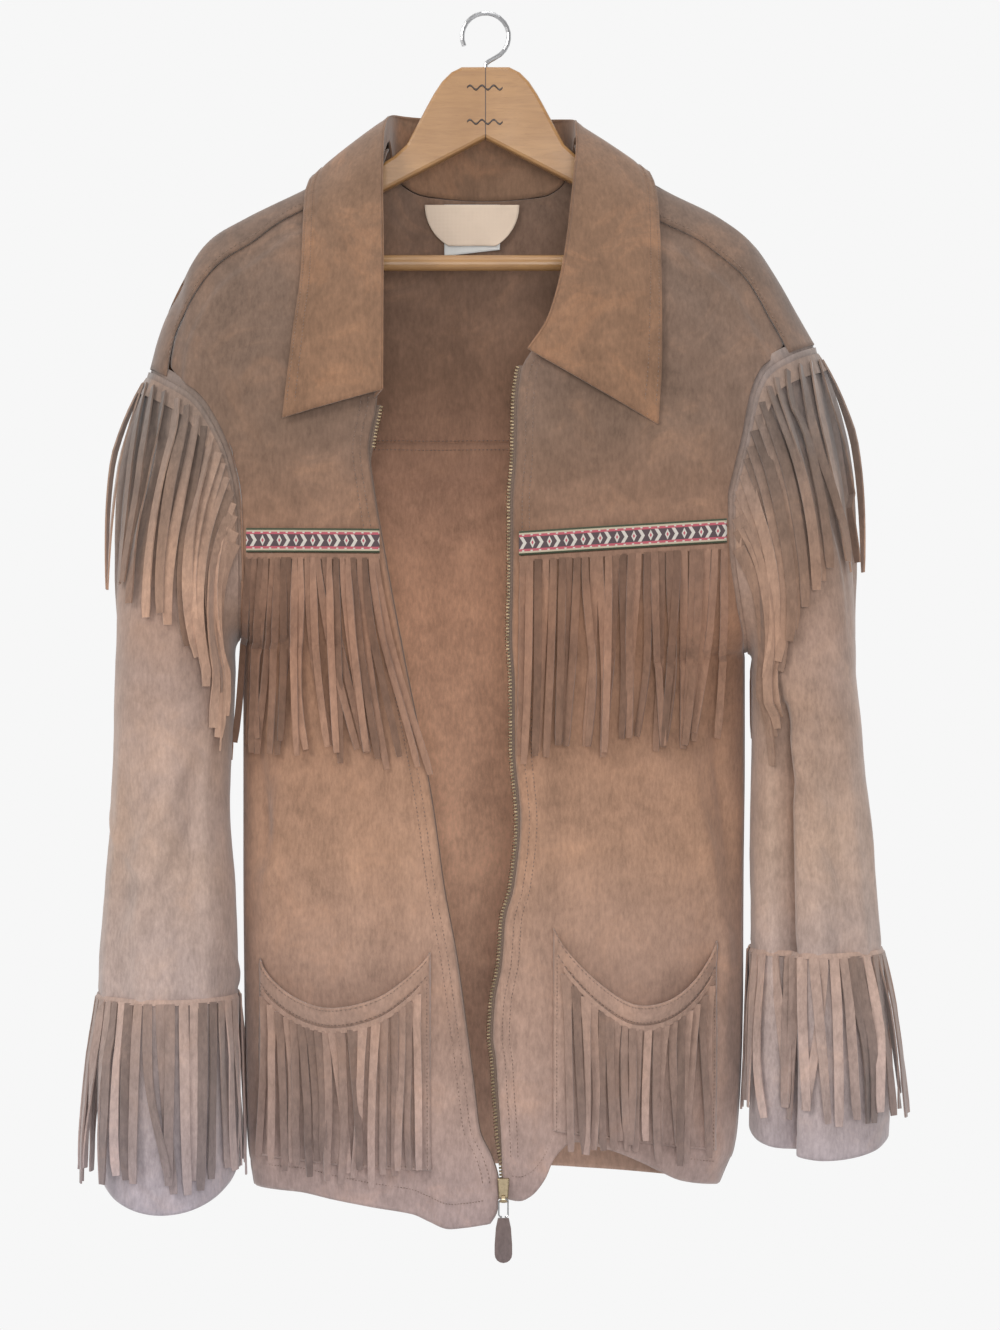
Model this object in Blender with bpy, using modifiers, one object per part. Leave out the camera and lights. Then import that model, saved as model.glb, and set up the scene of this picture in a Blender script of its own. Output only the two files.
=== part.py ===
"""Fringe jacket of brushed suede cloth, open at the front, on a wooden coat hanger.

Metres, +Z up. The jacket's front faces -Y. The origin is the inside top of the hanger's hook, where a rail
carries it. "right" and "left" are the wearer's sides, so right is at -X. Tables are in millimetres.
"""
import math

import bmesh
import bpy
import numpy as np
from mathutils import Vector

MM = 0.001

# Cloth and seams
WALL = 1.6 * MM
FRINGE_WALL = 1.5 * MM
TRIM_WALL = 1.0 * MM
SEAM_GAP = 0.5 * MM
SIDE_SEAM_INSET = 0.9 * MM
SHOULDER_SEAM_INSET = 1.1 * MM
SIDE_SPACING = 1.6
RIDGE_SPACING = 1.7
SHOULDER_COLUMNS = 9
TAPE_GAP = 1.2 * MM
ARMHOLE_INSET = 1.5 * MM
YOKE_SEAM_START = 0.07
ON_PANEL = 1.2 * MM
COLLAR_NECK_LIFT = 2.8 * MM
COLLAR_EDGE_LIFT = 5.5 * MM
COLLAR_RIDGE_LIFT = 2.4 * MM

# Body
FRONT, BACK = -1, 1
RIGHT, LEFT = -1, 1
UNDERARM = {RIGHT: -475 * MM, LEFT: -486 * MM}
ARMHOLE_DEPTH = 42 * MM
ARMHOLE_ROUND = 100 * MM
RIDGE_ROUND = 60 * MM
RIDGE_POWER = 0.7
LENS_POWER = 2.2
LENS_FULLNESS = 0.55
YOKE_HEM = -331 * MM

# Sleeves
SLEEVE_RING_TOP = -500 * MM
CAP_SHARE = 0.32
SLEEVE_GAP = 2.4 * MM
SLEEVE_MIDDLE = 240 * MM
CAP_MIDDLE = 200 * MM
SLEEVE_BACKWARD = 14 * MM

# Braid and fringes
BRAID_WIDTH = 17.8 * MM
STRIP_WIDTH = 7 * MM
STRIP_GAP = 0.8 * MM
STRAND_SHARE = 0.74
ARMHOLE_FRINGE_LENGTH = 156 * MM
ARMHOLE_FRINGE_ROOT = 3.4 * MM
ARMHOLE_FRINGE_LIFT = 6 * MM
ARMHOLE_FRINGE_START = 0.006
ARMHOLE_FRINGE_STRIP = 0.04
ARMHOLE_FRINGE_END = 119
ARMHOLE_FRINGE_COUNT = 26
BACK_FRINGE_LENGTH = 150 * MM
BACK_FRINGE_COUNT = 28
BACK_FRINGE_DROP = 4 * MM
BACK_FRINGE_NARROWING = 0.09
CUFF_FRINGE_LIFT = 3.6 * MM
CUFF_FRINGE_FLARE = 9 * MM
CUFF_FRINGE_END = 172
CUFF_FRINGE_COUNT = 24
POCKET_FRINGE_COUNT = 16
POCKET_FRINGE_INSET = 0.05
POCKET_GAPE = 22 * MM
POCKET_BAND = 15 * MM

# Hanger
HANGER_THICKNESS = 12 * MM
BAR_RADIUS = 6 * MM
BAR_HEIGHT = -188.2 * MM
BAR_HALF_LENGTH = 157.6 * MM
HOOK_INNER_RADIUS = 16 * MM
HOOK_WIRE_RADIUS = 1.75 * MM

# Zip slider and its hinged pull
SLIDER_X = 13.5 * MM
SLIDER_TOP = -873 * MM
SLIDER_LENGTH = 18 * MM
SLIDER_WIDTH = 9 * MM
SLIDER_DEPTH = 3.4 * MM
BAIL_HEIGHT = -888 * MM
BAIL_HOLE_RADIUS = 1.7 * MM
BAIL_WALL = 1.1 * MM
BAIL_WIDTH = 2.6 * MM
PULL_WIRE_RADIUS = 0.7 * MM
PULL_HALF_WIDTH = 3.4 * MM
PULL_WIRE_LENGTH = 13 * MM
TAG_WIDTH = 13 * MM
TAG_LENGTH = 33 * MM
TAG_THICKNESS = 2 * MM

# Surface colours
SUEDE = (0.245, 0.150, 0.098)
SUEDE_DARK = (0.165, 0.105, 0.075)
WOOD = (0.48, 0.27, 0.12)
BRASS = (0.52, 0.40, 0.22)
STEEL = (0.50, 0.50, 0.50)
CREAM = (0.78, 0.74, 0.64)
BRAID = (0.42, 0.32, 0.28)


class Line:
    """A smooth line through stations, without overshoot between them."""

    def __init__(self, keys, values):
        keys = np.asarray(keys, float)
        values = np.asarray(values, float)
        if keys[0] > keys[-1]:
            keys = keys[::-1]
            values = values[::-1]
        step = np.diff(keys)
        shape = (-1,) + (1,) * (values.ndim - 1)
        slope = np.diff(values, axis=0) / step.reshape(shape)
        turn = np.zeros_like(values)
        turn[0] = slope[0]
        turn[-1] = slope[-1]
        before, after = slope[:-1], slope[1:]
        total = np.where(before * after > 0, before + after, 1.0)
        turn[1:-1] = np.where(before * after > 0, 2 * before * after / total, 0.0)
        self.keys, self.values, self.turn = keys, values, turn

    def __call__(self, key):
        keys = self.keys
        key = min(max(key, keys[0]), keys[-1])
        i = min(int(np.searchsorted(keys, key, side="right")) - 1, len(keys) - 2)
        step = keys[i + 1] - keys[i]
        t = (key - keys[i]) / step
        start = self.values[i] * (1 + 2 * t) * (1 - t) ** 2 + self.turn[i] * step * t * (1 - t) ** 2
        end = self.values[i + 1] * t * t * (3 - 2 * t) - self.turn[i + 1] * step * t * t * (1 - t)
        return start + end


def route(points):
    """A smooth line through points, read by its share of the length, 0 to 1."""
    points = np.asarray(points, float)
    run = np.concatenate([[0], np.cumsum(np.linalg.norm(np.diff(points, axis=0), axis=1))])
    return Line(run / run[-1], points)


def table(rows):
    """A table in millimetres, as a line from its first column to the others."""
    rows = np.asarray(rows, float) * MM
    values = rows[:, 1:] if rows.shape[1] > 2 else rows[:, 1]
    return Line(rows[:, 0], values)


def mix(start, end, share):
    return start + (end - start) * share


def rounded(distance, radius):
    """Rises from 0 to 1 over radius as a quarter circle."""
    share = min(max(distance / radius, 0.0), 1.0)
    return math.sqrt(1 - (1 - share) ** 2)


# Shoulder ridge: distance from the middle, height
RIDGE = {
    RIGHT: table([(0, -85), (50, -91), (74, -101), (100, -114), (134, -131), (160, -143), (178, -152),
                  (200, -164),
                  (213, -174), (225, -190), (231, -208), (241, -226), (250, -248), (255, -269)]),
    LEFT: table([(0, -85), (50, -90), (68, -98), (100, -113), (126, -128), (163, -146), (178, -154),
                 (195, -165),
                 (208, -180), (225, -206), (239, -231), (250, -250)]),
}

# Half width of the body: height, distance of the side from the middle
WIDTH = {
    RIGHT: table([(-80, 262), (-269, 262), (-300, 246), (-350, 228), (-400, 212), (-440, 200),
                  (-475, 184), (-640, 184),
                  (-760, 183), (-850, 181), (-888, 176), (-925, 174)]),
    LEFT: table([(-80, 258), (-250, 258), (-300, 244), (-350, 228), (-400, 217), (-440, 208), (-486, 197),
                 (-560, 197),
                 (-660, 196), (-740, 195.7), (-830, 193), (-860, 189), (-887, 178), (-925, 176)]),
}

# Fullness of the front and back at the middle: height, depth
CROWN = {
    FRONT: table([(-80, 40), (-200, 50), (-300, 57), (-450, 62), (-600, 63), (-760, 61), (-925, 56)]),
    BACK: table([(-80, 40), (-150, 42), (-300, 46), (-600, 47), (-925, 44)]),
}

# Soft folds: face, start x and z, end x and z, width, height
FOLDS = [
    (FRONT, -112, -600, -66, -880, 22, 5),
    (FRONT, -152, -560, -140, -700, 16, 4),
    (FRONT, 42, -560, 42, -900, 30, 3),
    (FRONT, 140, -540, 165, -690, 18, 4),
    (FRONT, 105, -860, 95, -600, 24, -3),
    (BACK, -96, -470, -104, -900, 24, 7),
    (BACK, 90, -450, 100, -900, 24, 7),
    (BACK, 4, -560, -8, -900, 22, 5),
    (BACK, -40, -340, -70, -560, 20, 3),
]

# Front edges from the hem up to the neck, then the neck to the shoulder seam: x, z
FRONT_EDGE = {
    RIGHT: [(4, -908), (9, -899), (11, -886), (9.5, -873), (5, -858), (-4, -838), (-7.6, -810),
            (-13.5, -764),
            (-21, -709), (-30, -661), (-39.5, -594), (-62, -480), (-75, -408), (-82.6, -363), (-86, -334),
            (-80, -293),
            (-81, -250), (-83, -200), (-83, -150), (-80, -124)],
    LEFT: [(14, -889), (13, -875), (11.5, -838), (9.5, -810), (8, -786), (5.8, -768), (7.3, -742),
           (12.5, -714),
           (15, -681), (21, -659), (26, -609), (22, -552), (22, -508), (20, -474), (20.7, -423),
           (20.7, -371),
           (23, -338), (23.6, -303), (26.6, -275), (34, -261), (50, -242), (58, -219), (64, -200),
           (70, -158),
           (72, -126)],
}

# Front half of each armhole from the underarm to the shoulder seam, then on to the shoulder tip: x, z
ARMHOLE_FRONT = {
    RIGHT: [(-184, -475), (-181, -430), (-182, -380), (-188, -345), (-200, -315), (-215, -293),
            (-238, -278)],
    LEFT: [(197, -486), (189, -450), (183, -410), (181.8, -371), (186, -350), (192, -326), (199, -292),
           (208, -273),
           (227, -260)],
}
ARMHOLE_BACK = {
    RIGHT: [(-184, -475), (-190, -430), (-199, -380), (-210, -331), (-226, -300), (-242, -282)],
    LEFT: [(197, -486), (199, -430), (204, -380), (212, -331), (224, -290), (238, -264)],
}
SHOULDER_TIP = {RIGHT: (-255, -269), LEFT: (250, -250)}

# Hems from the front edge, or the middle of the back, out to the side seam: x, z
FRONT_HEM = {
    RIGHT: [(4, -908), (-15, -911), (-26, -912), (-42, -906), (-54, -901), (-81, -897), (-114, -892),
            (-142, -888),
            (-176, -888)],
    LEFT: [(14, -889), (25, -891), (34, -887), (44, -875), (52, -858), (66, -847), (90, -853),
           (116, -864), (129, -871),
           (147, -880), (178, -887)],
}
BACK_HEM = [(-176, -888), (-110, -884), (0, -880), (110, -884), (178, -887)]

# Forward shoulder seams from the neck out to the armhole, and the back of the neck: x, z
SHOULDER_SEAM = {
    RIGHT: [(-80, -124), (-132, -148), (-157, -161), (-176, -176), (-199, -191), (-213, -206), (-226, -229),
            (-234, -250), (-238, -278)],
    LEFT: [(72, -126), (100, -142), (127, -159), (160, -175), (175, -186), (196, -205), (212, -232),
           (220, -246),
           (227, -260)],
}
NECK_SIDE = {RIGHT: (-74, -101), LEFT: (68, -98)}
BACK_NECK = [(-74, -101), (-68, -122), (-46, -134), (0, -137), (44, -134), (62, -122), (68, -98)]

# Rings of the sleeves: height, inner x, outer x, middle y, half depth, all outward from the middle
SLEEVE = {
    RIGHT: table([(-500, 189, 279, -12, 55), (-596, 193, 282, -14, 55), (-672, 188, 287.5, -15, 56),
                  (-735, 187, 291, -16, 57), (-837, 186, 292, -17, 58), (-920, 187, 286, -17, 58)]),
    LEFT: table([(-500, 201, 280, -10, 53), (-558, 201, 285, -12, 54), (-672, 200, 295, -14, 56),
                 (-735, 200, 300, -15, 57), (-800, 199, 303, -16, 58), (-870, 199, 303, -16, 58)]),
}
# Hem of the sleeve: middle height, how much lower its front is than its back
SLEEVE_HEM = {RIGHT: (-868 * MM, 30 * MM), LEFT: (-842 * MM, 16 * MM)}
CUFF_SEAM = {RIGHT: -740 * MM, LEFT: -706 * MM}
CUFF_FRINGE_LENGTH = {RIGHT: 136 * MM, LEFT: 120 * MM}

# Folds down the sleeves: side, angle, top and bottom height, width in degrees, height
SLEEVE_FOLDS = [
    (LEFT, 128, -520, -900, 16, -15),
    (LEFT, 62, -560, -760, 16, -4),
    (RIGHT, 120, -540, -700, 18, -5),
    (RIGHT, 50, -600, -780, 18, -4),
    (RIGHT, 245, -520, -760, 20, -6),
    (LEFT, 240, -600, -760, 20, -6),
]

# Pockets: x of the inner and outer side, z of their lower and upper corners, sag of the mouth
POCKETS = {
    RIGHT: dict(inner=-40, outer=-169, inner_bottom=-868, outer_bottom=-862, inner_top=-706, outer_top=-714,
                sag=35),
    LEFT: dict(inner=50, outer=172, inner_bottom=-838, outer_bottom=-858, inner_top=-688, outer_top=-700,
               sag=50),
}

# Collar from the right front end round the neck: neck x z, roll x y z, edge x z, face or ridge
RIDGE_ROW = 0
COLLAR = [
    (-81, -296, -75, -67, -290, -150, -311, FRONT),
    (-81, -250, -75, -63, -240, -143, -247, FRONT),
    (-83, -200, -75, -54, -185, -137, -197, FRONT),
    (-83, -150, -76, -40, -125, -136, -160, FRONT),
    (-78, -118, -76, -20, -92, -135, -142, FRONT),
    (-73, -101, -73, 0, -76, -130, -129, RIDGE_ROW),
    (-69, -118, -66, 19, -71, -114, -144, BACK),
    (-48, -133, -46, 32, -70, -76, -157, BACK),
    (0, -137, 0, 38, -70, 0, -162, BACK),
    (46, -133, 42, 32, -71, 76, -157, BACK),
    (64, -117, 60, 19, -74, 106, -143, BACK),
    (68, -98, 68, 0, -80, 122, -126, RIDGE_ROW),
    (71, -120, 68, -22, -100, 128, -143, FRONT),
    (71, -156, 65, -40, -132, 130, -168, FRONT),
    (65, -200, 58, -54, -190, 131, -205, FRONT),
    (52, -240, 46, -62, -236, 131, -262, FRONT),
    (36, -262, 31, -67, -260, 128, -316, FRONT),
]


def fold_height(x, z, face):
    total = 0.0
    for fold_face, x0, z0, x1, z1, width, height in FOLDS:
        if fold_face != face:
            continue
        along = Vector(((x1 - x0) * MM, (z1 - z0) * MM))
        from_start = Vector((x - x0 * MM, z - z0 * MM))
        share = min(max(from_start.dot(along) / along.length_squared, 0.0), 1.0)
        away = (from_start - along * share).length / (width * MM)
        total += height * MM * math.exp(-away * away) * math.sin(math.pi * (0.2 + 0.75 * share))
    return total


def depth(x, z, face):
    """How far the cloth's outer face stands from the middle plane, at x and z."""
    side = LEFT if x > 0 else RIGHT
    spread = min(abs(x) / WIDTH[side](z), 1.0)
    lens = (1 - spread ** LENS_POWER) ** LENS_FULLNESS
    edge = ARMHOLE_DEPTH * rounded(z - UNDERARM[side], ARMHOLE_ROUND)
    crown = CROWN[face](z) + fold_height(x, z, face)
    below = max(RIDGE[side](abs(x)) - z, 0.0)
    fall = (1 - math.exp(-below / RIDGE_ROUND)) ** RIDGE_POWER
    return (edge + (crown - edge) * lens) * fall


def body_point(x, z, face, lift=0.0):
    """A point on the body's cloth, moved out along its normal by lift."""
    probe = 2 * MM
    here = depth(x, z, face)
    point = Vector((x, face * here, z))
    if lift == 0.0:
        return point
    slope_x = (depth(x + probe, z, face) - depth(x - probe, z, face)) / (2 * probe)
    slope_z = (depth(x, z + probe, face) - depth(x, z - probe, face)) / (2 * probe)
    normal = Vector((-slope_x, face, -slope_z)).normalized()
    return point + normal * lift


def patch(bottom, top, inner, outer):
    """The flat field between four lines that meet at their ends."""

    def at(u, v):
        corners = (1 - u) * (1 - v) * bottom(0) + u * (1 - v) * bottom(1)
        corners = corners + (1 - u) * v * top(0) + u * v * top(1)
        return mix(bottom(u), top(u), v) + mix(inner(v), outer(v), u) - corners

    return at


def material(name, colour, roughness, metallic=0.0):
    made = bpy.data.materials.new(name)
    made.use_nodes = True
    shader = made.node_tree.nodes["Principled BSDF"]
    shader.inputs["Base Color"].default_value = (*colour, 1.0)
    shader.inputs["Roughness"].default_value = roughness
    shader.inputs["Metallic"].default_value = metallic
    made.diffuse_color = (*colour, 1.0)
    return made


def clear_scene():
    for thing in list(bpy.data.objects):
        bpy.data.objects.remove(thing, do_unlink=True)


def place(name, mesh, collection, finish, smooth=True):
    thing = bpy.data.objects.new(name, mesh)
    collection.objects.link(thing)
    mesh.materials.append(finish)
    if smooth and hasattr(mesh, "shade_smooth"):
        mesh.shade_smooth()
        mesh.set_sharp_from_angle(angle=math.radians(40))
    return thing


def face_outward(bm, outward):
    """Turns the faces of an open sheet to the side that outward points to."""
    bmesh.ops.recalc_face_normals(bm, faces=bm.faces)
    bm.normal_update()
    lean = sum(face.normal.dot(outward(face.calc_center_median())) for face in bm.faces)
    if lean < 0:
        bmesh.ops.reverse_faces(bm, faces=bm.faces)


def grid_mesh(bm, across, up, at):
    """Adds a grid of across by up cells, its corners at at(u, v) with u and v from 0 to 1."""
    made = bmesh.ops.create_grid(bm, x_segments=across, y_segments=up, size=1.0)
    for vertex in made["verts"]:
        u = round((vertex.co.x + 1) / 2 * across) / across
        v = round((vertex.co.y + 1) / 2 * up) / up
        vertex.co = at(u, v)
    return made["verts"]


def sheet(name, grids, outward, finish, collection, wall=WALL, weld=False):
    """Cloth: open grids, welded where they meet, made a wall behind their outer face."""
    bm = bmesh.new()
    for across, up, at in grids:
        grid_mesh(bm, across, up, at)
    if weld:
        bmesh.ops.remove_doubles(bm, verts=bm.verts, dist=0.00005)
    face_outward(bm, outward)
    mesh = bpy.data.meshes.new(name)
    bm.to_mesh(mesh)
    bm.free()
    thing = place(name, mesh, collection, finish)
    thicken(thing, wall)
    return thing


def thicken(thing, wall, even=True):
    solid = thing.modifiers.new("Wall", "SOLIDIFY")
    solid.thickness = wall
    solid.offset = -1
    solid.use_even_offset = even
    solid.thickness_clamp = 1.0


def comb(name, count, steps, strip, hang, outward, finish, collection):
    """Fringe: a strip with strands below it that stand apart.

    strip(u, side) gives the strip's top (side 0) and bottom (side 1) at u, and hang(u, middle, q) a strand's
    point at q from root to tip, where middle is the u of that strand's middle line.
    """
    cells = 2 * count - 1
    pitch = 1 / (count - 1 + STRAND_SHARE)
    bm = bmesh.new()
    made = bmesh.ops.create_grid(bm, x_segments=cells, y_segments=steps + 1, size=1.0)
    place_of = {}
    for vertex in made["verts"]:
        column = round((vertex.co.x + 1) / 2 * cells)
        row = steps + 1 - round((vertex.co.y + 1) / 2 * (steps + 1))
        place_of[vertex] = (column, row)
    gaps = []
    for face in bm.faces:
        columns = [place_of[vertex][0] for vertex in face.verts]
        rows = [place_of[vertex][1] for vertex in face.verts]
        if min(rows) >= 1 and min(columns) % 2 == 1:
            gaps.append(face)
    bmesh.ops.delete(bm, geom=gaps, context="FACES")
    for vertex, (column, row) in place_of.items():
        if not vertex.is_valid:
            continue
        strand, edge = divmod(column, 2)
        u = min(strand * pitch + edge * STRAND_SHARE * pitch, 1.0)
        middle = strand * pitch + STRAND_SHARE * pitch / 2
        if row <= 1:
            vertex.co = strip(u, row)
        else:
            vertex.co = hang(u, middle, (row - 1) / steps)
    face_outward(bm, outward)
    mesh = bpy.data.meshes.new(name)
    bm.to_mesh(mesh)
    bm.free()
    thing = place(name, mesh, collection, finish, smooth=False)
    thicken(thing, FRINGE_WALL, even=False)
    return thing


def scaled(points):
    return [Vector((x * MM, z * MM)) for x, z in points]


def side_spaced(u):
    """Columns of a panel, closer together towards its outer edge."""
    return 1 - (1 - u) ** SIDE_SPACING


def front_panel(side, finish, collection):
    inner = route(scaled(FRONT_EDGE[side]))
    bottom = route(scaled(FRONT_HEM[side]))
    top = route(scaled(SHOULDER_SEAM[side]))
    low_corner = FRONT_HEM[side][-1]
    underarm = ARMHOLE_FRONT[side][0]
    rows = []
    for height in (-850, -760, -640, -560):
        rows.append((side * WIDTH[side](height * MM) / MM, height))
    outer = route(scaled([low_corner] + rows + ARMHOLE_FRONT[side]))
    field = patch(bottom, top, inner, outer)

    def at(u, v):
        x, z = field(side_spaced(u), v)
        point = body_point(x, z, FRONT)
        if u == 1.0 and z < underarm[1] * MM + 1 * MM:
            point.y -= SIDE_SEAM_INSET
        elif u == 1.0:
            point.x -= side * ARMHOLE_INSET
            point.z += ARMHOLE_INSET
        if v == 1.0:
            point.z -= SHOULDER_SEAM_INSET
        return point

    name = "front_right" if side == RIGHT else "front_left"
    return sheet(name, [(SHOULDER_COLUMNS, 15, at)], lambda p: Vector((0, -1, 0.3)), finish, collection)


def yoke(finish, collection):
    across_shoulder, across_neck = SHOULDER_COLUMNS, 8
    grids = []
    ridge_lines = {}
    for side in (RIGHT, LEFT):
        neck_x, neck_z = NECK_SIDE[side]
        tip_x, tip_z = SHOULDER_TIP[side]
        stations = [mix(abs(neck_x), abs(tip_x), share) for share in (0.2, 0.4, 0.6, 0.75, 0.85, 0.93)]
        points = [(side * x, RIDGE[side](x * MM) / MM) for x in stations]
        ridge_lines[side] = route(scaled([(neck_x, neck_z)] + points + [(tip_x, tip_z)]))
        seam = route(scaled(SHOULDER_SEAM[side]))

        def front_at(u, v, side=side, seam=seam):
            start = seam(side_spaced(u))
            end = ridge_lines[side](side_spaced(u))
            x, z = mix(start, end, mix(YOKE_SEAM_START, 1.0, 1 - (1 - v) ** RIDGE_SPACING))
            point = body_point(x, z, FRONT)
            if v == 1.0:
                point.y = 0.0
            return point

        grids.append((across_shoulder, 3, front_at))
    neck = route(scaled(BACK_NECK))
    hem_ends = {side: ARMHOLE_BACK[side][3] for side in (RIGHT, LEFT)}
    hem = route(scaled([hem_ends[RIGHT], (0, -331), hem_ends[LEFT]]))
    sides = {}
    for side in (RIGHT, LEFT):
        sides[side] = route(scaled(ARMHOLE_BACK[side][3:] + [SHOULDER_TIP[side]]))
    shoulder_share = across_shoulder / (2 * across_shoulder + across_neck)

    def top_at(u):
        if u <= shoulder_share + 1e-6:
            return ridge_lines[RIGHT](side_spaced(1 - u / shoulder_share))
        if u >= 1 - shoulder_share - 1e-6:
            return ridge_lines[LEFT](side_spaced((u - 1 + shoulder_share) / shoulder_share))
        return neck(0.5 - 0.5 * math.cos(math.pi * (u - shoulder_share) / (1 - 2 * shoulder_share)))

    field = patch(hem, top_at, sides[RIGHT], sides[LEFT])

    def back_at(u, v):
        x, z = field(u, 1 - (1 - v) ** RIDGE_SPACING)
        point = body_point(x, z, BACK)
        on_ridge = v == 1.0 and (u <= shoulder_share + 1e-6 or u >= 1 - shoulder_share - 1e-6)
        if on_ridge:
            point.y = 0.0
        return point

    grids.append((2 * across_shoulder + across_neck, 6, back_at))
    return sheet("yoke", grids, lambda p: Vector((0, p.y, 0.02)), finish, collection, weld=True)


def back_panel(finish, collection):
    hem = route(scaled(BACK_HEM))
    top = route(scaled([ARMHOLE_BACK[RIGHT][3], (0, -331), ARMHOLE_BACK[LEFT][3]]))
    sides = {}
    for side in (RIGHT, LEFT):
        low = BACK_HEM[0] if side == RIGHT else BACK_HEM[-1]
        rows = [(side * WIDTH[side](height * MM) / MM, height) for height in (-850, -760, -640, -560)]
        sides[side] = route(scaled([low] + rows + ARMHOLE_BACK[side][:4]))
    field = patch(hem, top, sides[RIGHT], sides[LEFT])

    def at(u, v):
        half = abs(2 * u - 1)
        u_side = 0.5 - 0.5 * math.copysign(side_spaced(half), 1 - 2 * u)
        x, z = field(u_side, v)
        point = body_point(x, z, BACK)
        side = LEFT if x > 0 else RIGHT
        if u in (0.0, 1.0) and z < UNDERARM[side] + 1 * MM:
            point.y += SIDE_SEAM_INSET
        if v == 1.0:
            point.z -= 2 * SEAM_GAP
        return point

    return sheet("back", [(16, 10, at)], lambda p: Vector((0, 1, 0)), finish, collection)


def armhole(side):
    """The armhole's loop from the shoulder tip down the front and up the back, by angle 0 to 360."""
    halves = {}
    for face, points in ((FRONT, ARMHOLE_FRONT[side]), (BACK, ARMHOLE_BACK[side])):
        flat = route(scaled([SHOULDER_TIP[side]] + points[::-1]))
        samples = []
        for i in range(33):
            share = i / 32
            x, z = flat(share)
            before = np.asarray(flat(max(share - 0.02, 0)))
            after = np.asarray(flat(min(share + 0.02, 1)))
            run = (after - before) / np.linalg.norm(after - before)
            away = np.array((-run[1], run[0]))
            if away[0] * side < 0:
                away = -away
            y = 0.0 if i in (0, 32) else face * depth(x, z, face)
            samples.append((x + away[0] * SLEEVE_GAP, y, z + away[1] * SLEEVE_GAP, away[0], away[1]))
        samples = np.array(samples)
        run = np.concatenate([[0], np.cumsum(np.linalg.norm(np.diff(samples[:, :3], axis=0), axis=1))])
        halves[face] = Line(run / run[-1], samples)

    def at(angle):
        angle = angle % 360
        if angle <= 180:
            x, y, z, away_x, away_z = halves[FRONT](angle / 180)
        else:
            x, y, z, away_x, away_z = halves[BACK]((360 - angle) / 180)
        return Vector((x, y, z)), Vector((away_x, 0, away_z))

    return at


def sleeve_fold(side, angle, z):
    total = 0.0
    for fold_side, middle, top, bottom, width, height in SLEEVE_FOLDS:
        if fold_side != side:
            continue
        away = ((angle - middle + 180) % 360 - 180) / width
        reach = rounded(top * MM - z, 70 * MM) * rounded(z - bottom * MM, 70 * MM)
        total += height * MM * math.exp(-away * away) * reach
    return total


def sleeve_ring(side, angle, z):
    inner, outer, middle_y, half_depth = SLEEVE[side](z)
    turn = math.radians(angle)
    half = (outer - inner) / 2
    swell = sleeve_fold(side, angle, z)
    out = (half + swell) * math.cos(turn)
    x = side * ((inner + outer) / 2 + out)
    y = middle_y - (half_depth + swell) * math.sin(turn)
    return Vector((x, y, z))


def sleeve_shape(side):
    """The sleeve's outer face, by angle round it and share down it, 0 at the armhole and 1 at the hem."""
    loop = armhole(side)
    hem_middle, hem_drop = SLEEVE_HEM[side]

    def plain(angle, share):
        if share > CAP_SHARE:
            hem = hem_middle - hem_drop * math.sin(math.radians(angle))
            z = mix(SLEEVE_RING_TOP, hem, (share - CAP_SHARE) / (1 - CAP_SHARE))
            return sleeve_ring(side, angle, z)
        start, away = loop(angle)
        end = sleeve_ring(side, angle, SLEEVE_RING_TOP)
        reach = (end - start).length
        down = Vector((0, 0, -1))
        first = start + (away * 0.62 + down * 0.38) * reach * 0.36
        last = end - down * reach * 0.36
        t = share / CAP_SHARE
        bend = start * (1 - t) ** 3 + first * 3 * t * (1 - t) ** 2
        return bend + last * 3 * t * t * (1 - t) + end * t ** 3

    def at(angle, share, lift=0.0):
        point = plain(angle, share)
        if lift == 0.0:
            return point
        middle = min(max(share, 0.011), 0.989)
        low = middle - 0.01
        high = middle + 0.01
        round_way = plain(angle + 2, middle) - plain(angle - 2, middle)
        down_way = plain(angle, high) - plain(angle, low)
        normal = round_way.cross(down_way).normalized() * side
        return point + normal * lift

    return at


def sleeve(side, finish, collection):
    shape = sleeve_shape(side)
    cap_rows, rows = 5, 13

    def at(u, v):
        row = round(v * rows)
        if row <= cap_rows:
            share = CAP_SHARE * row / cap_rows
        else:
            share = CAP_SHARE + (1 - CAP_SHARE) * (row - cap_rows) / (rows - cap_rows)
        return shape((u * 360) % 360, share)

    def outward(point):
        middle = SLEEVE_MIDDLE if point.z < YOKE_HEM else CAP_MIDDLE
        return Vector((point.x - side * middle, point.y + SLEEVE_BACKWARD, 0.0))

    name = "sleeve_right" if side == RIGHT else "sleeve_left"
    return sheet(name, [(22, rows, at)], outward, finish, collection, weld=True)


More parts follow.
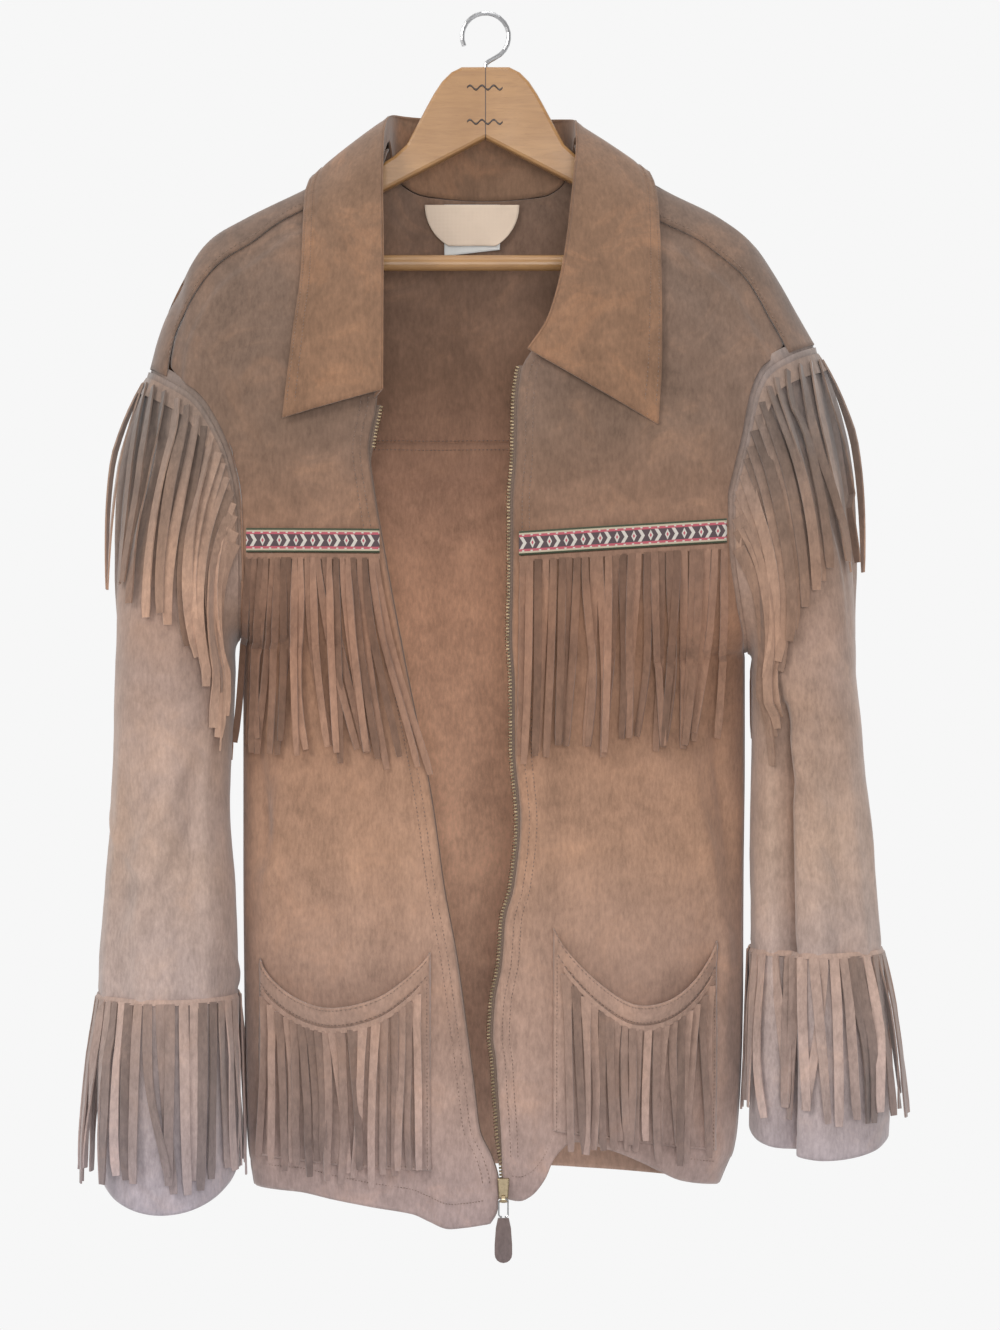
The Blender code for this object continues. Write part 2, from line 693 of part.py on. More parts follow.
def collar(finish, collection):
    sections = []
    for neck_x, neck_z, roll_x, roll_y, roll_z, edge_x, edge_z, face in COLLAR:
        roll = Vector((roll_x, roll_y, roll_z)) * MM
        if face == RIDGE_ROW:
            neck = Vector((neck_x * MM, 0, neck_z * MM + COLLAR_NECK_LIFT + COLLAR_RIDGE_LIFT))
            edge = Vector((edge_x * MM, 0, edge_z * MM + COLLAR_EDGE_LIFT + COLLAR_RIDGE_LIFT))
        else:
            neck = body_point(neck_x * MM, neck_z * MM, face, COLLAR_NECK_LIFT)
            edge = body_point(edge_x * MM, edge_z * MM, face, COLLAR_EDGE_LIFT)
        sections.append([*neck, *roll, *edge])
    along = route(sections)

    def at(u, v):
        values = along(u)
        neck, roll, edge = Vector(values[0:3]), Vector(values[3:6]), Vector(values[6:9])
        if v < 0.25:
            return mix(neck, roll, v / 0.25 * 0.93)
        if v < 0.45:
            t = (v - 0.25) / 0.2
            start = mix(neck, roll, 0.93)
            end = mix(roll, edge, 0.1)
            top = roll + (roll - mix(neck, edge, 0.5)).normalized() * 1.5 * MM
            return start * (1 - t) ** 2 + top * 2 * t * (1 - t) + end * t * t
        return mix(mix(roll, edge, 0.1), edge, (v - 0.45) / 0.55)

    bm = bmesh.new()
    grid_mesh(bm, 34, 7, at)
    bmesh.ops.recalc_face_normals(bm, faces=bm.faces)
    bm.normal_update()
    bm.faces.ensure_lookup_table()
    lean = 0.0
    for face in bm.faces:
        middle = face.calc_center_median()
        if abs(middle.x) > 110 * MM and middle.z < -180 * MM:
            lean += face.normal.dot(Vector((0, -1, 0)))
    if lean < 0:
        bmesh.ops.reverse_faces(bm, faces=bm.faces)
    mesh = bpy.data.meshes.new("collar")
    bm.to_mesh(mesh)
    bm.free()
    thing = place("collar", mesh, collection, finish)
    thicken(thing, WALL)
    return thing


# How far the zip's tape stands past the cloth's front edge: height, reach
REACH = table([(-925, 0.8), (-866, 0.8), (-840, 3.4), (-200, 3.4)])


def zip_tape(side, finish, collection):
    edge = route(scaled(FRONT_EDGE[side]))
    heights = [edge(share / 400)[1] for share in range(401)]
    top_limit = -300 * MM if side == RIGHT else -270 * MM
    low_limit = -890 * MM if side == RIGHT else -884 * MM
    shares = [share / 400 for share in range(401) if low_limit <= heights[share] <= top_limit]
    first, last = shares[0], shares[-1]

    def at(u, v):
        x, z = edge(mix(first, last, v))
        reach = mix(-REACH(z), 7 * MM, u)
        return body_point(x + side * reach, z, FRONT, -(WALL + TAPE_GAP))

    name = "zip_tape_right" if side == RIGHT else "zip_tape_left"
    return sheet(name, [(2, 28, at)], lambda p: Vector((0, -1, 0)), finish, collection, wall=TRIM_WALL)


BRAIDS = {
    RIGHT: dict(inner=(-78, -393), outer=(-177, -392)),
    LEFT: dict(inner=(25, -395), outer=(179, -385)),
}


def braid(side, finish, collection):
    inner, outer = BRAIDS[side]["inner"], BRAIDS[side]["outer"]

    def at(u, v):
        x = mix(inner[0], outer[0], u) * MM
        z = mix(inner[1], outer[1], u) * MM - (1 - v) * BRAID_WIDTH
        return body_point(x, z, FRONT, ON_PANEL + TRIM_WALL)

    name = "braid_right" if side == RIGHT else "braid_left"
    return sheet(name, [(14, 2, at)], lambda p: Vector((0, -1, 0)), finish, collection, wall=TRIM_WALL)


CHEST = {
    RIGHT: dict(count=22, tip_inner=-42, tip_outer=-183, drop=(156, 140)),
    LEFT: dict(count=26, tip_inner=24, tip_outer=168, drop=(146, 144)),
}


def plumb(at, q, face, looks=6):
    """A strand's point at q, no nearer the middle plane than any point of it above."""
    point = at(q)
    for step in range(looks):
        above = at(q * step / looks)
        if above.y * face > point.y * face:
            point.y = above.y
    return point


def sway(number, reach):
    """An uneven but fixed drift for one strand, from -reach to reach."""
    return reach * math.sin(number * 12.9898 + 1.7) * math.cos(number * 4.1414)


def chest_fringe(side, finish, collection):
    shape = CHEST[side]
    inner, outer = BRAIDS[side]["inner"], BRAIDS[side]["outer"]

    def root(u):
        x = mix(inner[0], outer[0], u) * MM
        z = mix(inner[1], outer[1], u) * MM - BRAID_WIDTH - STRIP_GAP
        return x, z

    def strip(u, low):
        x, z = root(u)
        return body_point(x, z - low * STRIP_WIDTH, FRONT, ON_PANEL + FRINGE_WALL)

    def hang(u, middle, q):
        x, z = root(u)
        tip_x = mix(shape["tip_inner"], shape["tip_outer"], u) * MM
        fall = mix(shape["drop"][0], shape["drop"][1], middle) * MM + sway(middle * 97, 4 * MM)

        def at(q):
            low = z - STRIP_WIDTH - q * (fall - STRIP_WIDTH)
            across = mix(x, tip_x, q ** 1.3) + sway(middle * 61, 1.2 * MM) * q
            lift = ON_PANEL + FRINGE_WALL + q * 3 * MM + sway(middle * 43, 1.2 * MM) * q
            point = body_point(x, low, FRONT, lift)
            point.x += across - x
            return point

        return plumb(at, q, FRONT)

    name = "chest_fringe_right" if side == RIGHT else "chest_fringe_left"
    return comb(name, shape["count"], 2, strip, hang, lambda p: Vector((0, -1, 0)), finish, collection)


def back_fringe(finish, collection):
    ends = (ARMHOLE_BACK[RIGHT][3][0] + 12, ARMHOLE_BACK[LEFT][3][0] - 12)

    def strip(u, low):
        x = mix(ends[0], ends[1], u) * MM
        z = YOKE_HEM - BACK_FRINGE_DROP - low * STRIP_WIDTH
        return body_point(x, z, BACK, ON_PANEL + FRINGE_WALL)

    def hang(u, middle, q):
        x = mix(ends[0], ends[1], u) * MM
        fall = BACK_FRINGE_LENGTH + sway(middle * 71, 5 * MM)

        def at(q):
            z = YOKE_HEM - BACK_FRINGE_DROP - STRIP_WIDTH - q * (fall - STRIP_WIDTH)
            across = x * (1 - BACK_FRINGE_NARROWING * q) + sway(middle * 37, 1.5 * MM) * q
            return body_point(across, z, BACK, ON_PANEL + FRINGE_WALL + q * 4 * MM)

        return plumb(at, q, BACK)

    outward = Vector((0, 1, 0))
    return comb("back_fringe", BACK_FRINGE_COUNT, 2, strip, hang, lambda p: outward, finish, collection)


# Where a strand rooted at one angle of the armhole hangs on the sleeve: root angle, hanging angle
HANGING_ANGLE = Line([0, 20, 40, 60, 90, 120], [0, 56, 98, 120, 134, 144])


def hanging_angle(angle):
    if angle <= 180:
        return float(HANGING_ANGLE(angle))
    return 360 - float(HANGING_ANGLE(360 - angle))


def armhole_fringe(side, finish, collection):
    shape = sleeve_shape(side)
    def strip(u, low):
        angle = mix(ARMHOLE_FRINGE_END, -ARMHOLE_FRINGE_END, u)
        share = ARMHOLE_FRINGE_START + low * ARMHOLE_FRINGE_STRIP
        return shape(angle % 360, share, ARMHOLE_FRINGE_ROOT)

    def hang(u, middle, q):
        angle = mix(ARMHOLE_FRINGE_END, -ARMHOLE_FRINGE_END, u) % 360
        root = shape(angle, ARMHOLE_FRINGE_STRIP)
        fall = ARMHOLE_FRINGE_LENGTH * q + sway(middle * 53, 6 * MM) * q
        low, high = ARMHOLE_FRINGE_STRIP, 1.0
        for _ in range(24):
            share = (low + high) / 2
            turned = mix(angle, hanging_angle(angle), min(share / CAP_SHARE, 1.0) ** 0.8)
            if root.z - shape(turned, share).z < fall:
                low = share
            else:
                high = share
        lift = ARMHOLE_FRINGE_ROOT + ARMHOLE_FRINGE_LIFT * min(q * 2.5, 1.0)
        return shape(turned, share, lift)

    def outward(point):
        return Vector((point.x - side * CAP_MIDDLE, point.y, 0.0))

    name = "armhole_fringe_right" if side == RIGHT else "armhole_fringe_left"
    return comb(name, ARMHOLE_FRINGE_COUNT, 4, strip, hang, outward, finish, collection)


def cuff_fringe(side, finish, collection):
    shape = sleeve_shape(side)
    hem_middle, hem_drop = SLEEVE_HEM[side]

    def share_at(angle, z):
        hem = hem_middle - hem_drop * math.sin(math.radians(angle))
        return CAP_SHARE + (1 - CAP_SHARE) * (SLEEVE_RING_TOP - z) / (SLEEVE_RING_TOP - hem)

    def strip(u, low):
        angle = mix(CUFF_FRINGE_END, -CUFF_FRINGE_END, u) % 360
        return shape(angle, share_at(angle, CUFF_SEAM[side] - low * STRIP_WIDTH), CUFF_FRINGE_LIFT)

    def hang(u, middle, q):
        angle = mix(CUFF_FRINGE_END, -CUFF_FRINGE_END, u)
        fall = CUFF_FRINGE_LENGTH[side] + sway(middle * 83, 5 * MM)
        z = CUFF_SEAM[side] - STRIP_WIDTH - q * (fall - STRIP_WIDTH)
        outside = max(math.cos(math.radians(angle)), 0.0)
        lift = CUFF_FRINGE_LIFT + q * (2.5 * MM + CUFF_FRINGE_FLARE * outside)
        point = shape(angle % 360, min(share_at(angle, z), 1.0), lift)
        point.z = z
        return point

    def outward(point):
        return Vector((point.x - side * SLEEVE_MIDDLE, point.y + SLEEVE_BACKWARD, 0.0))

    name = "cuff_fringe_right" if side == RIGHT else "cuff_fringe_left"
    return comb(name, CUFF_FRINGE_COUNT, 2, strip, hang, outward, finish, collection)


def pocket_shape(side):
    size = POCKETS[side]

    def at(u, v, lift=0.0):
        x = mix(size["inner"], size["outer"], u) * MM
        bottom = mix(size["inner_bottom"], size["outer_bottom"], u) * MM
        sag = size["sag"] * MM * math.sin(math.pi * u) ** 0.8
        top = mix(size["inner_top"], size["outer_top"], u) * MM - sag
        z = mix(bottom, top, v)
        gape = POCKET_GAPE * (math.sin(math.pi * u) ** 0.9) * v ** 2.2
        return body_point(x, z, FRONT, ON_PANEL + WALL + gape + lift)

    return at


def pocket(side, finish, collection):
    shape = pocket_shape(side)
    name = "pocket_right" if side == RIGHT else "pocket_left"
    return sheet(name, [(10, 6, shape)], lambda p: Vector((0, -1, 0)), finish, collection)


def pocket_fringe(side, finish, collection):
    shape = pocket_shape(side)
    size = POCKETS[side]

    def v_of(u, below):
        bottom = mix(size["inner_bottom"], size["outer_bottom"], u) * MM
        top = mix(size["inner_top"], size["outer_top"], u) * MM
        top -= size["sag"] * MM * math.sin(math.pi * u) ** 0.8
        return (top - below - bottom) / (top - bottom)

    def strip(u, low):
        inset = mix(POCKET_FRINGE_INSET, 1 - POCKET_FRINGE_INSET, u)
        return shape(inset, v_of(inset, POCKET_BAND + low * STRIP_WIDTH), ON_PANEL + FRINGE_WALL)

    def hang(u, middle, q):
        inset = mix(POCKET_FRINGE_INSET, 1 - POCKET_FRINGE_INSET, u)
        start = v_of(inset, POCKET_BAND + STRIP_WIDTH)
        v = mix(start, 0.05, q)
        lift = ON_PANEL + FRINGE_WALL + 3.5 * MM * q
        point = shape(inset, v, lift)
        point.z += sway(middle * 47, 5 * MM) * q
        return point

    name = "pocket_fringe_right" if side == RIGHT else "pocket_fringe_left"
    outward = Vector((0, -1, 0))
    return comb(name, POCKET_FRINGE_COUNT, 2, strip, hang, lambda p: outward, finish, collection)


LABELS = {
    "care_label": dict(x=(-32, 11), z=(-139, -176), lift=3.2),
    "neck_label": dict(x=(-47, 26), z=(-139, -170), lift=5.2),
}


def label(name, finish, collection):
    size = LABELS[name]

    def at(u, v):
        x = mix(size["x"][0], size["x"][1], u) * MM
        z = mix(size["z"][1], size["z"][0], v) * MM
        if name == "neck_label":
            middle = (size["x"][0] + size["x"][1]) / 2 * MM
            half = (size["x"][1] - size["x"][0]) / 2 * MM
            narrow = math.sqrt(1 - (1 - v) ** 2 * 0.75)
            x = middle + (2 * u - 1) * half * narrow
        return body_point(x, z, BACK, -(size["lift"] * MM))

    return sheet(name, [(6, 4, at)], lambda p: Vector((0, -1, 0)), finish, collection, wall=TRIM_WALL)


# Left half of the hanger's outline from the top, along the arm and back under it to the middle: x, z
HANGER_OUTLINE = [(18, -40), (26, -44), (33, -51), (39, -60), (44, -69), (54, -88),
                  (60, -99), (70, -108),
                  (85, -117), (105, -127), (126, -138), (150, -151), (170, -162), (182, -169),
                  (189, -174), (191, -182),
                  (186, -196), (176, -200), (164, -200), (158, -196), (158, -176), (120, -155),
                  (75, -132.7),
                  (0, -94)]


def hanger_wood(finish, collection):
    name = "hanger_wood"
    outline = HANGER_OUTLINE + [(-x, z) for x, z in HANGER_OUTLINE[-2::-1]]
    curve = bpy.data.curves.new(name + "_outline", "CURVE")
    curve.dimensions = "2D"
    curve.fill_mode = "BOTH"
    curve.extrude = HANGER_THICKNESS / 2 - 2.5 * MM
    curve.bevel_depth = 2.5 * MM
    curve.bevel_resolution = 1
    curve.offset = -2.5 * MM
    spline = curve.splines.new("POLY")
    spline.points.add(len(outline) - 1)
    for point, (x, z) in zip(spline.points, outline):
        point.co = (x * MM, z * MM, 0, 1)
    spline.use_cyclic_u = True
    guide = bpy.data.objects.new(name + "_outline", curve)
    collection.objects.link(guide)
    guide.rotation_euler = (math.radians(90), 0, 0)
    bpy.context.view_layer.update()
    evaluated = guide.evaluated_get(bpy.context.evaluated_depsgraph_get())
    mesh = bpy.data.meshes.new_from_object(evaluated)
    mesh.transform(guide.matrix_world)
    bm = bmesh.new()
    bm.from_mesh(mesh)
    bmesh.ops.remove_doubles(bm, verts=bm.verts, dist=0.00005)
    bmesh.ops.recalc_face_normals(bm, faces=bm.faces)
    bm.to_mesh(mesh)
    bm.free()
    bpy.data.objects.remove(guide, do_unlink=True)
    mesh.materials.clear()
    return place(name, mesh, collection, finish)


def wire(name, points, radius, finish, collection, resolution=2):
    curve = bpy.data.curves.new(name, "CURVE")
    curve.dimensions = "3D"
    curve.bevel_depth = radius
    curve.bevel_resolution = resolution
    curve.use_fill_caps = True
    spline = curve.splines.new("POLY")
    spline.points.add(len(points) - 1)
    for point, co in zip(spline.points, points):
        point.co = (*co, 1)
    thing = bpy.data.objects.new(name, curve)
    collection.objects.link(thing)
    curve.materials.append(finish)
    return thing


def hanger_bar(finish, collection):
    bm = bmesh.new()
    bmesh.ops.create_cone(bm, cap_ends=True, segments=20, radius1=BAR_RADIUS, radius2=BAR_RADIUS,
                          depth=2 * BAR_HALF_LENGTH)
    mesh = bpy.data.meshes.new("hanger_bar")
    bm.to_mesh(mesh)
    bm.free()
    thing = place("hanger_bar", mesh, collection, finish)
    thing.rotation_euler = (0, math.radians(90), 0)
    thing.location = (0, 0, BAR_HEIGHT)
    return thing


def hook(finish, collection):
    radius = HOOK_INNER_RADIUS + HOOK_WIRE_RADIUS
    middle = -HOOK_INNER_RADIUS
    points = [(0, 0, -39.6 * MM), (0, 0, -38 * MM), (0.6 * MM, 0, -36.6 * MM), (2.6 * MM, 0, -34.8 * MM)]
    for step in range(19):
        turn = math.radians(-66 + step * 15)
        points.append((radius * math.cos(turn), 0, middle + radius * math.sin(turn)))
    return wire("hanger_hook", points, HOOK_WIRE_RADIUS, finish, collection)


def slider_face():
    """The y of the cloth's outer face under the slider."""
    heights = (SLIDER_TOP, SLIDER_TOP - SLIDER_LENGTH / 2, SLIDER_TOP - SLIDER_LENGTH)
    return min(body_point(SLIDER_X + dx * MM, z, FRONT).y for dx in (-5, 0, 5) for z in heights)


def zip_slider(finish, collection):
    """A slider body with a bail on its front, cut through for the pull's wire."""
    back = slider_face() - SEAM_GAP
    axis_y = back - SLIDER_DEPTH - BAIL_HOLE_RADIUS + 0.3 * MM
    bm = bmesh.new()
    bmesh.ops.create_cube(bm, size=1.0)
    for vertex in bm.verts:
        narrow = 0.72 if vertex.co.z < 0 else 1.0
        vertex.co = Vector((vertex.co.x * SLIDER_WIDTH * narrow, vertex.co.y * SLIDER_DEPTH,
                            vertex.co.z * SLIDER_LENGTH))
        vertex.co += Vector((SLIDER_X, back - SLIDER_DEPTH / 2, SLIDER_TOP - SLIDER_LENGTH / 2))
    mesh = bpy.data.meshes.new("zip_slider")
    bm.to_mesh(mesh)
    bm.free()
    thing = place("zip_slider", mesh, collection, finish, smooth=False)
    edges = thing.modifiers.new("Edges", "BEVEL")
    edges.width = 0.8 * MM
    edges.segments = 2
    edges.limit_method = "ANGLE"
    ring = bmesh.new()
    bmesh.ops.create_cone(ring, cap_ends=True, segments=20, radius1=BAIL_HOLE_RADIUS + BAIL_WALL,
                          radius2=BAIL_HOLE_RADIUS + BAIL_WALL, depth=BAIL_WIDTH)
    turn_and_move(ring, axis_y)
    bail = cutter("bail_blank", ring, collection)
    hole = bmesh.new()
    bmesh.ops.create_cone(hole, cap_ends=True, segments=20, radius1=BAIL_HOLE_RADIUS,
                          radius2=BAIL_HOLE_RADIUS, depth=4 * SLIDER_WIDTH)
    turn_and_move(hole, axis_y)
    drill = cutter("bail_hole", hole, collection)
    for tool, action in ((bail, "UNION"), (drill, "DIFFERENCE")):
        join = thing.modifiers.new(tool.name, "BOOLEAN")
        join.operation = action
        join.object = tool
    return thing, axis_y


def turn_and_move(bm, axis_y):
    for vertex in bm.verts:
        x, y, z = vertex.co
        vertex.co = Vector((z + SLIDER_X, y + axis_y, -x + BAIL_HEIGHT))


def cutter(name, bm, collection):
    bmesh.ops.recalc_face_normals(bm, faces=bm.faces)
    mesh = bpy.data.meshes.new(name)
    bm.to_mesh(mesh)
    bm.free()
    thing = bpy.data.objects.new(name, mesh)
    cutters = bpy.data.collections.get("cutters") or bpy.data.collections.new("cutters")
    if cutters.name not in bpy.context.scene.collection.children:
        bpy.context.scene.collection.children.link(cutters)
    cutters.objects.link(thing)
    thing.hide_render = True
    thing.display_type = "WIRE"
    return thing


def zip_pull(axis_y, wire_finish, tag_finish, collection):
    """The pull hangs from the bail: a wire loop on the hinge's axis and a leather tag below it."""
    left, right = SLIDER_X - PULL_HALF_WIDTH, SLIDER_X + PULL_HALF_WIDTH
    corner = 1.2 * MM
    top, bottom = BAIL_HEIGHT, BAIL_HEIGHT - PULL_WIRE_LENGTH
    points = [(SLIDER_X - 1 * MM, axis_y, bottom), (left + corner, axis_y, bottom),
              (left, axis_y, bottom + corner),
              (left, axis_y, top - corner), (left + corner, axis_y, top), (right - corner, axis_y, top),
              (right, axis_y, top - corner), (right, axis_y, bottom + corner),
              (right - corner, axis_y, bottom),
              (SLIDER_X + 1 * MM, axis_y, bottom)]
    wire("zip_pull_wire", points, PULL_WIRE_RADIUS, wire_finish, collection, resolution=1)
    name = "zip_pull_tag"
    curve = bpy.data.curves.new(name + "_outline", "CURVE")
    curve.dimensions = "2D"
    curve.fill_mode = "BOTH"
    curve.extrude = TAG_THICKNESS / 2
    outline = []
    tag_top = bottom - PULL_WIRE_RADIUS - 0.3 * MM
    half = TAG_WIDTH / 2
    for x, drop in ((-0.62, 0.0), (0.62, 0.0), (0.86, 0.22), (1.0, 0.6)):
        outline.append((SLIDER_X + x * half, tag_top - drop * TAG_LENGTH))
    for step in range(9):
        turn = math.pi * step / 8
        low = tag_top - TAG_LENGTH + half - half * math.sin(turn)
        outline.append((SLIDER_X + half * math.cos(turn), low))
    outline += [(SLIDER_X - half, tag_top - 0.6 * TAG_LENGTH),
                (SLIDER_X - 0.86 * half, tag_top - 0.22 * TAG_LENGTH)]
    spline = curve.splines.new("POLY")
    spline.points.add(len(outline) - 1)
    for point, (x, z) in zip(spline.points, outline):
        point.co = (x, z, 0, 1)
    spline.use_cyclic_u = True
    guide = bpy.data.objects.new(name + "_outline", curve)
    collection.objects.link(guide)
    guide.rotation_euler = (math.radians(90), 0, 0)
    guide.location = (0, axis_y, 0)
    bpy.context.view_layer.update()
    evaluated = guide.evaluated_get(bpy.context.evaluated_depsgraph_get())
    mesh = bpy.data.meshes.new_from_object(evaluated)
    mesh.transform(guide.matrix_world)
    bm = bmesh.new()
    bm.from_mesh(mesh)
    bmesh.ops.remove_doubles(bm, verts=bm.verts, dist=0.00005)
    bmesh.ops.recalc_face_normals(bm, faces=bm.faces)
    bm.to_mesh(mesh)
    bm.free()
    bpy.data.objects.remove(guide, do_unlink=True)
    mesh.materials.clear()
    return place(name, mesh, collection, tag_finish, smooth=False)


def build():
    clear_scene()
    collection = bpy.data.collections.new("fringe_jacket")
    bpy.context.scene.collection.children.link(collection)
    suede = material("suede", SUEDE, 0.95)
    fringe = material("suede_fringe", SUEDE, 0.95)
    tape = material("zip_tape", SUEDE_DARK, 0.9)
    wood = material("wood", WOOD, 0.45)
    brass = material("brass", BRASS, 0.4, 1.0)
    steel = material("steel", STEEL, 0.3, 1.0)
    leather = material("leather", SUEDE_DARK, 0.7)
    cream = material("label", CREAM, 0.8)
    woven = material("braid", BRAID, 0.8)
    yoke(suede, collection)
    back_panel(suede, collection)
    collar(suede, collection)
    back_fringe(fringe, collection)
    for side in (RIGHT, LEFT):
        front_panel(side, suede, collection)
        sleeve(side, suede, collection)
        zip_tape(side, tape, collection)
        braid(side, woven, collection)
        chest_fringe(side, fringe, collection)
        armhole_fringe(side, fringe, collection)
        pocket(side, suede, collection)
        pocket_fringe(side, fringe, collection)
        cuff_fringe(side, fringe, collection)
    for name in LABELS:
        label(name, cream, collection)
    hanger_wood(wood, collection)
    hanger_bar(wood, collection)
    hook(steel, collection)
    slider, axis_y = zip_slider(brass, collection)
    zip_pull(axis_y, steel, leather, collection)


build()
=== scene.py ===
import bisect
import math
import random

import bmesh
import bpy
import numpy as np
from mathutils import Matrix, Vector, noise


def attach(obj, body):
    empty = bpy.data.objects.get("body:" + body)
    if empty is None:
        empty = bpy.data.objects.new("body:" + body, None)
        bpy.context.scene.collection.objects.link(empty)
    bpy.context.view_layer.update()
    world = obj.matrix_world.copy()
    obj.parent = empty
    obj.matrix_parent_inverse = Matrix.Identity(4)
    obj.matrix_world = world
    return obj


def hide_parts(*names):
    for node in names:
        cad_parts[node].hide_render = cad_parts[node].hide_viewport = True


# fringe jacket of brushed suede cloth on a wooden hanger; metres, +Z up, its front faces -Y
# "right" and "left" are the wearer's, so right is at -X
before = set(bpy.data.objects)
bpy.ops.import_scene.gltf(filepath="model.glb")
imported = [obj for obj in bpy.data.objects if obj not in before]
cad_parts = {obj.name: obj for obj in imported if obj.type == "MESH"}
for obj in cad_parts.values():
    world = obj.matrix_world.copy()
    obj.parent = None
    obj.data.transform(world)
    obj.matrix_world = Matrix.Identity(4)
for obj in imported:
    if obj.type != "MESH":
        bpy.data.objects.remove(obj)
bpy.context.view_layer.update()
mm = 0.001
front, back = -1, 1
right, left = -1, 1
wall = 1.6 * mm


# camera, lights and floor

camera = {"target": (0.011, 0.0, -0.4937), "distance": 2.2, "lens": 78.35, "sensor": 36.0}
lights = {
    "key": {"place": (-1.7, -2.1, 0.9), "power": 27, "size": 1.0, "colour": (1.0, 0.98, 0.95)},
    "fill": {"place": (0.25, -3.1, -0.25), "power": 40, "size": 1.2, "colour": (0.95, 0.97, 1.0)},
    "top": {"place": (0.2, -0.4, 1.6), "power": 14, "size": 1.0, "colour": (1.0, 1.0, 1.0)},
    "behind": {"place": (0.0, 2.3, 0.3), "power": 8, "size": 2.0, "colour": (1.0, 1.0, 1.0)},
}
world = {"colour": (0.93, 0.93, 0.93), "behind": 1.0, "before": 0.46, "turn": (-0.35, 0.25)}
floor = {"height": -2.75, "size": 14.0, "colour": (0.90, 0.90, 0.90)}


def aim(thing, target):
    away = Vector(target) - thing.location
    thing.rotation_euler = away.to_track_quat("-Z", "Y").to_euler()


def makeCamera():
    data = bpy.data.cameras.new("camera")
    data.sensor_fit = "VERTICAL"
    data.sensor_height = camera["sensor"]
    data.lens = camera["lens"]
    data.clip_end = 50
    thing = bpy.data.objects.new("camera", data)
    thing.location = Vector(camera["target"]) + Vector((0, -camera["distance"], 0))
    thing.rotation_euler = (math.radians(90), 0, 0)
    bpy.context.scene.collection.objects.link(thing)
    bpy.context.scene.camera = thing


def makeLights():
    for name, facts in lights.items():
        data = bpy.data.lights.new(name, "AREA")
        data.energy = facts["power"]
        data.size = facts["size"]
        data.color = facts["colour"]
        thing = bpy.data.objects.new(name, data)
        thing.location = facts["place"]
        bpy.context.scene.collection.objects.link(thing)
        aim(thing, (0, 0, -0.5))
    sky = bpy.data.worlds.new("studio")
    sky.use_nodes = True
    shade = sky.node_tree.nodes["Background"]
    shade.inputs["Color"].default_value = (*world["colour"], 1)
    shop = Shop(sky)
    turn = shop.axis(shop.node("ShaderNodeTexCoord", out="Generated"), "Y")
    strength = turn.ramp(*world["turn"], world["before"], world["behind"])
    sky.node_tree.links.new(strength.socket, shade.inputs["Strength"])
    bpy.context.scene.world = sky
    bpy.context.scene.view_settings.view_transform = "Standard"


# shader maths

# one socket, or a number, that Python's operators turn into Math nodes
class Wire:
    def __init__(self, shop, socket):
        self.shop, self.socket = shop, socket

    def maths(self, operation, *others):
        sockets = dict(enumerate((self, *others)))
        return self.shop.node("ShaderNodeMath", {"operation": operation}, sockets)

    def __add__(self, other):
        return self.maths("ADD", other)

    def __radd__(self, other):
        return self.maths("ADD", other)

    def __sub__(self, other):
        return self.maths("SUBTRACT", other)

    def __rsub__(self, other):
        return self.shop.node("ShaderNodeMath", {"operation": "SUBTRACT"}, {0: other, 1: self})

    def __mul__(self, other):
        return self.maths("MULTIPLY", other)

    def __rmul__(self, other):
        return self.maths("MULTIPLY", other)

    def __truediv__(self, other):
        return self.maths("DIVIDE", other)

    def below(self, limit):
        return self.maths("LESS_THAN", limit)

    def above(self, limit):
        return self.maths("GREATER_THAN", limit)

    def size(self):
        return self.maths("ABSOLUTE")

    def part(self):
        return self.maths("FRACT")

    def sine(self):
        return self.maths("SINE")

    def least(self, other):
        return self.maths("MINIMUM", other)

    # from start at low to end at high, held outside them
    def ramp(self, low, high, start=0.0, end=1.0):
        return self.shop.node("ShaderNodeMapRange", {"clamp": True},
                              {"Value": self, "From Min": low, "From Max": high, "To Min": start,
                               "To Max": end})


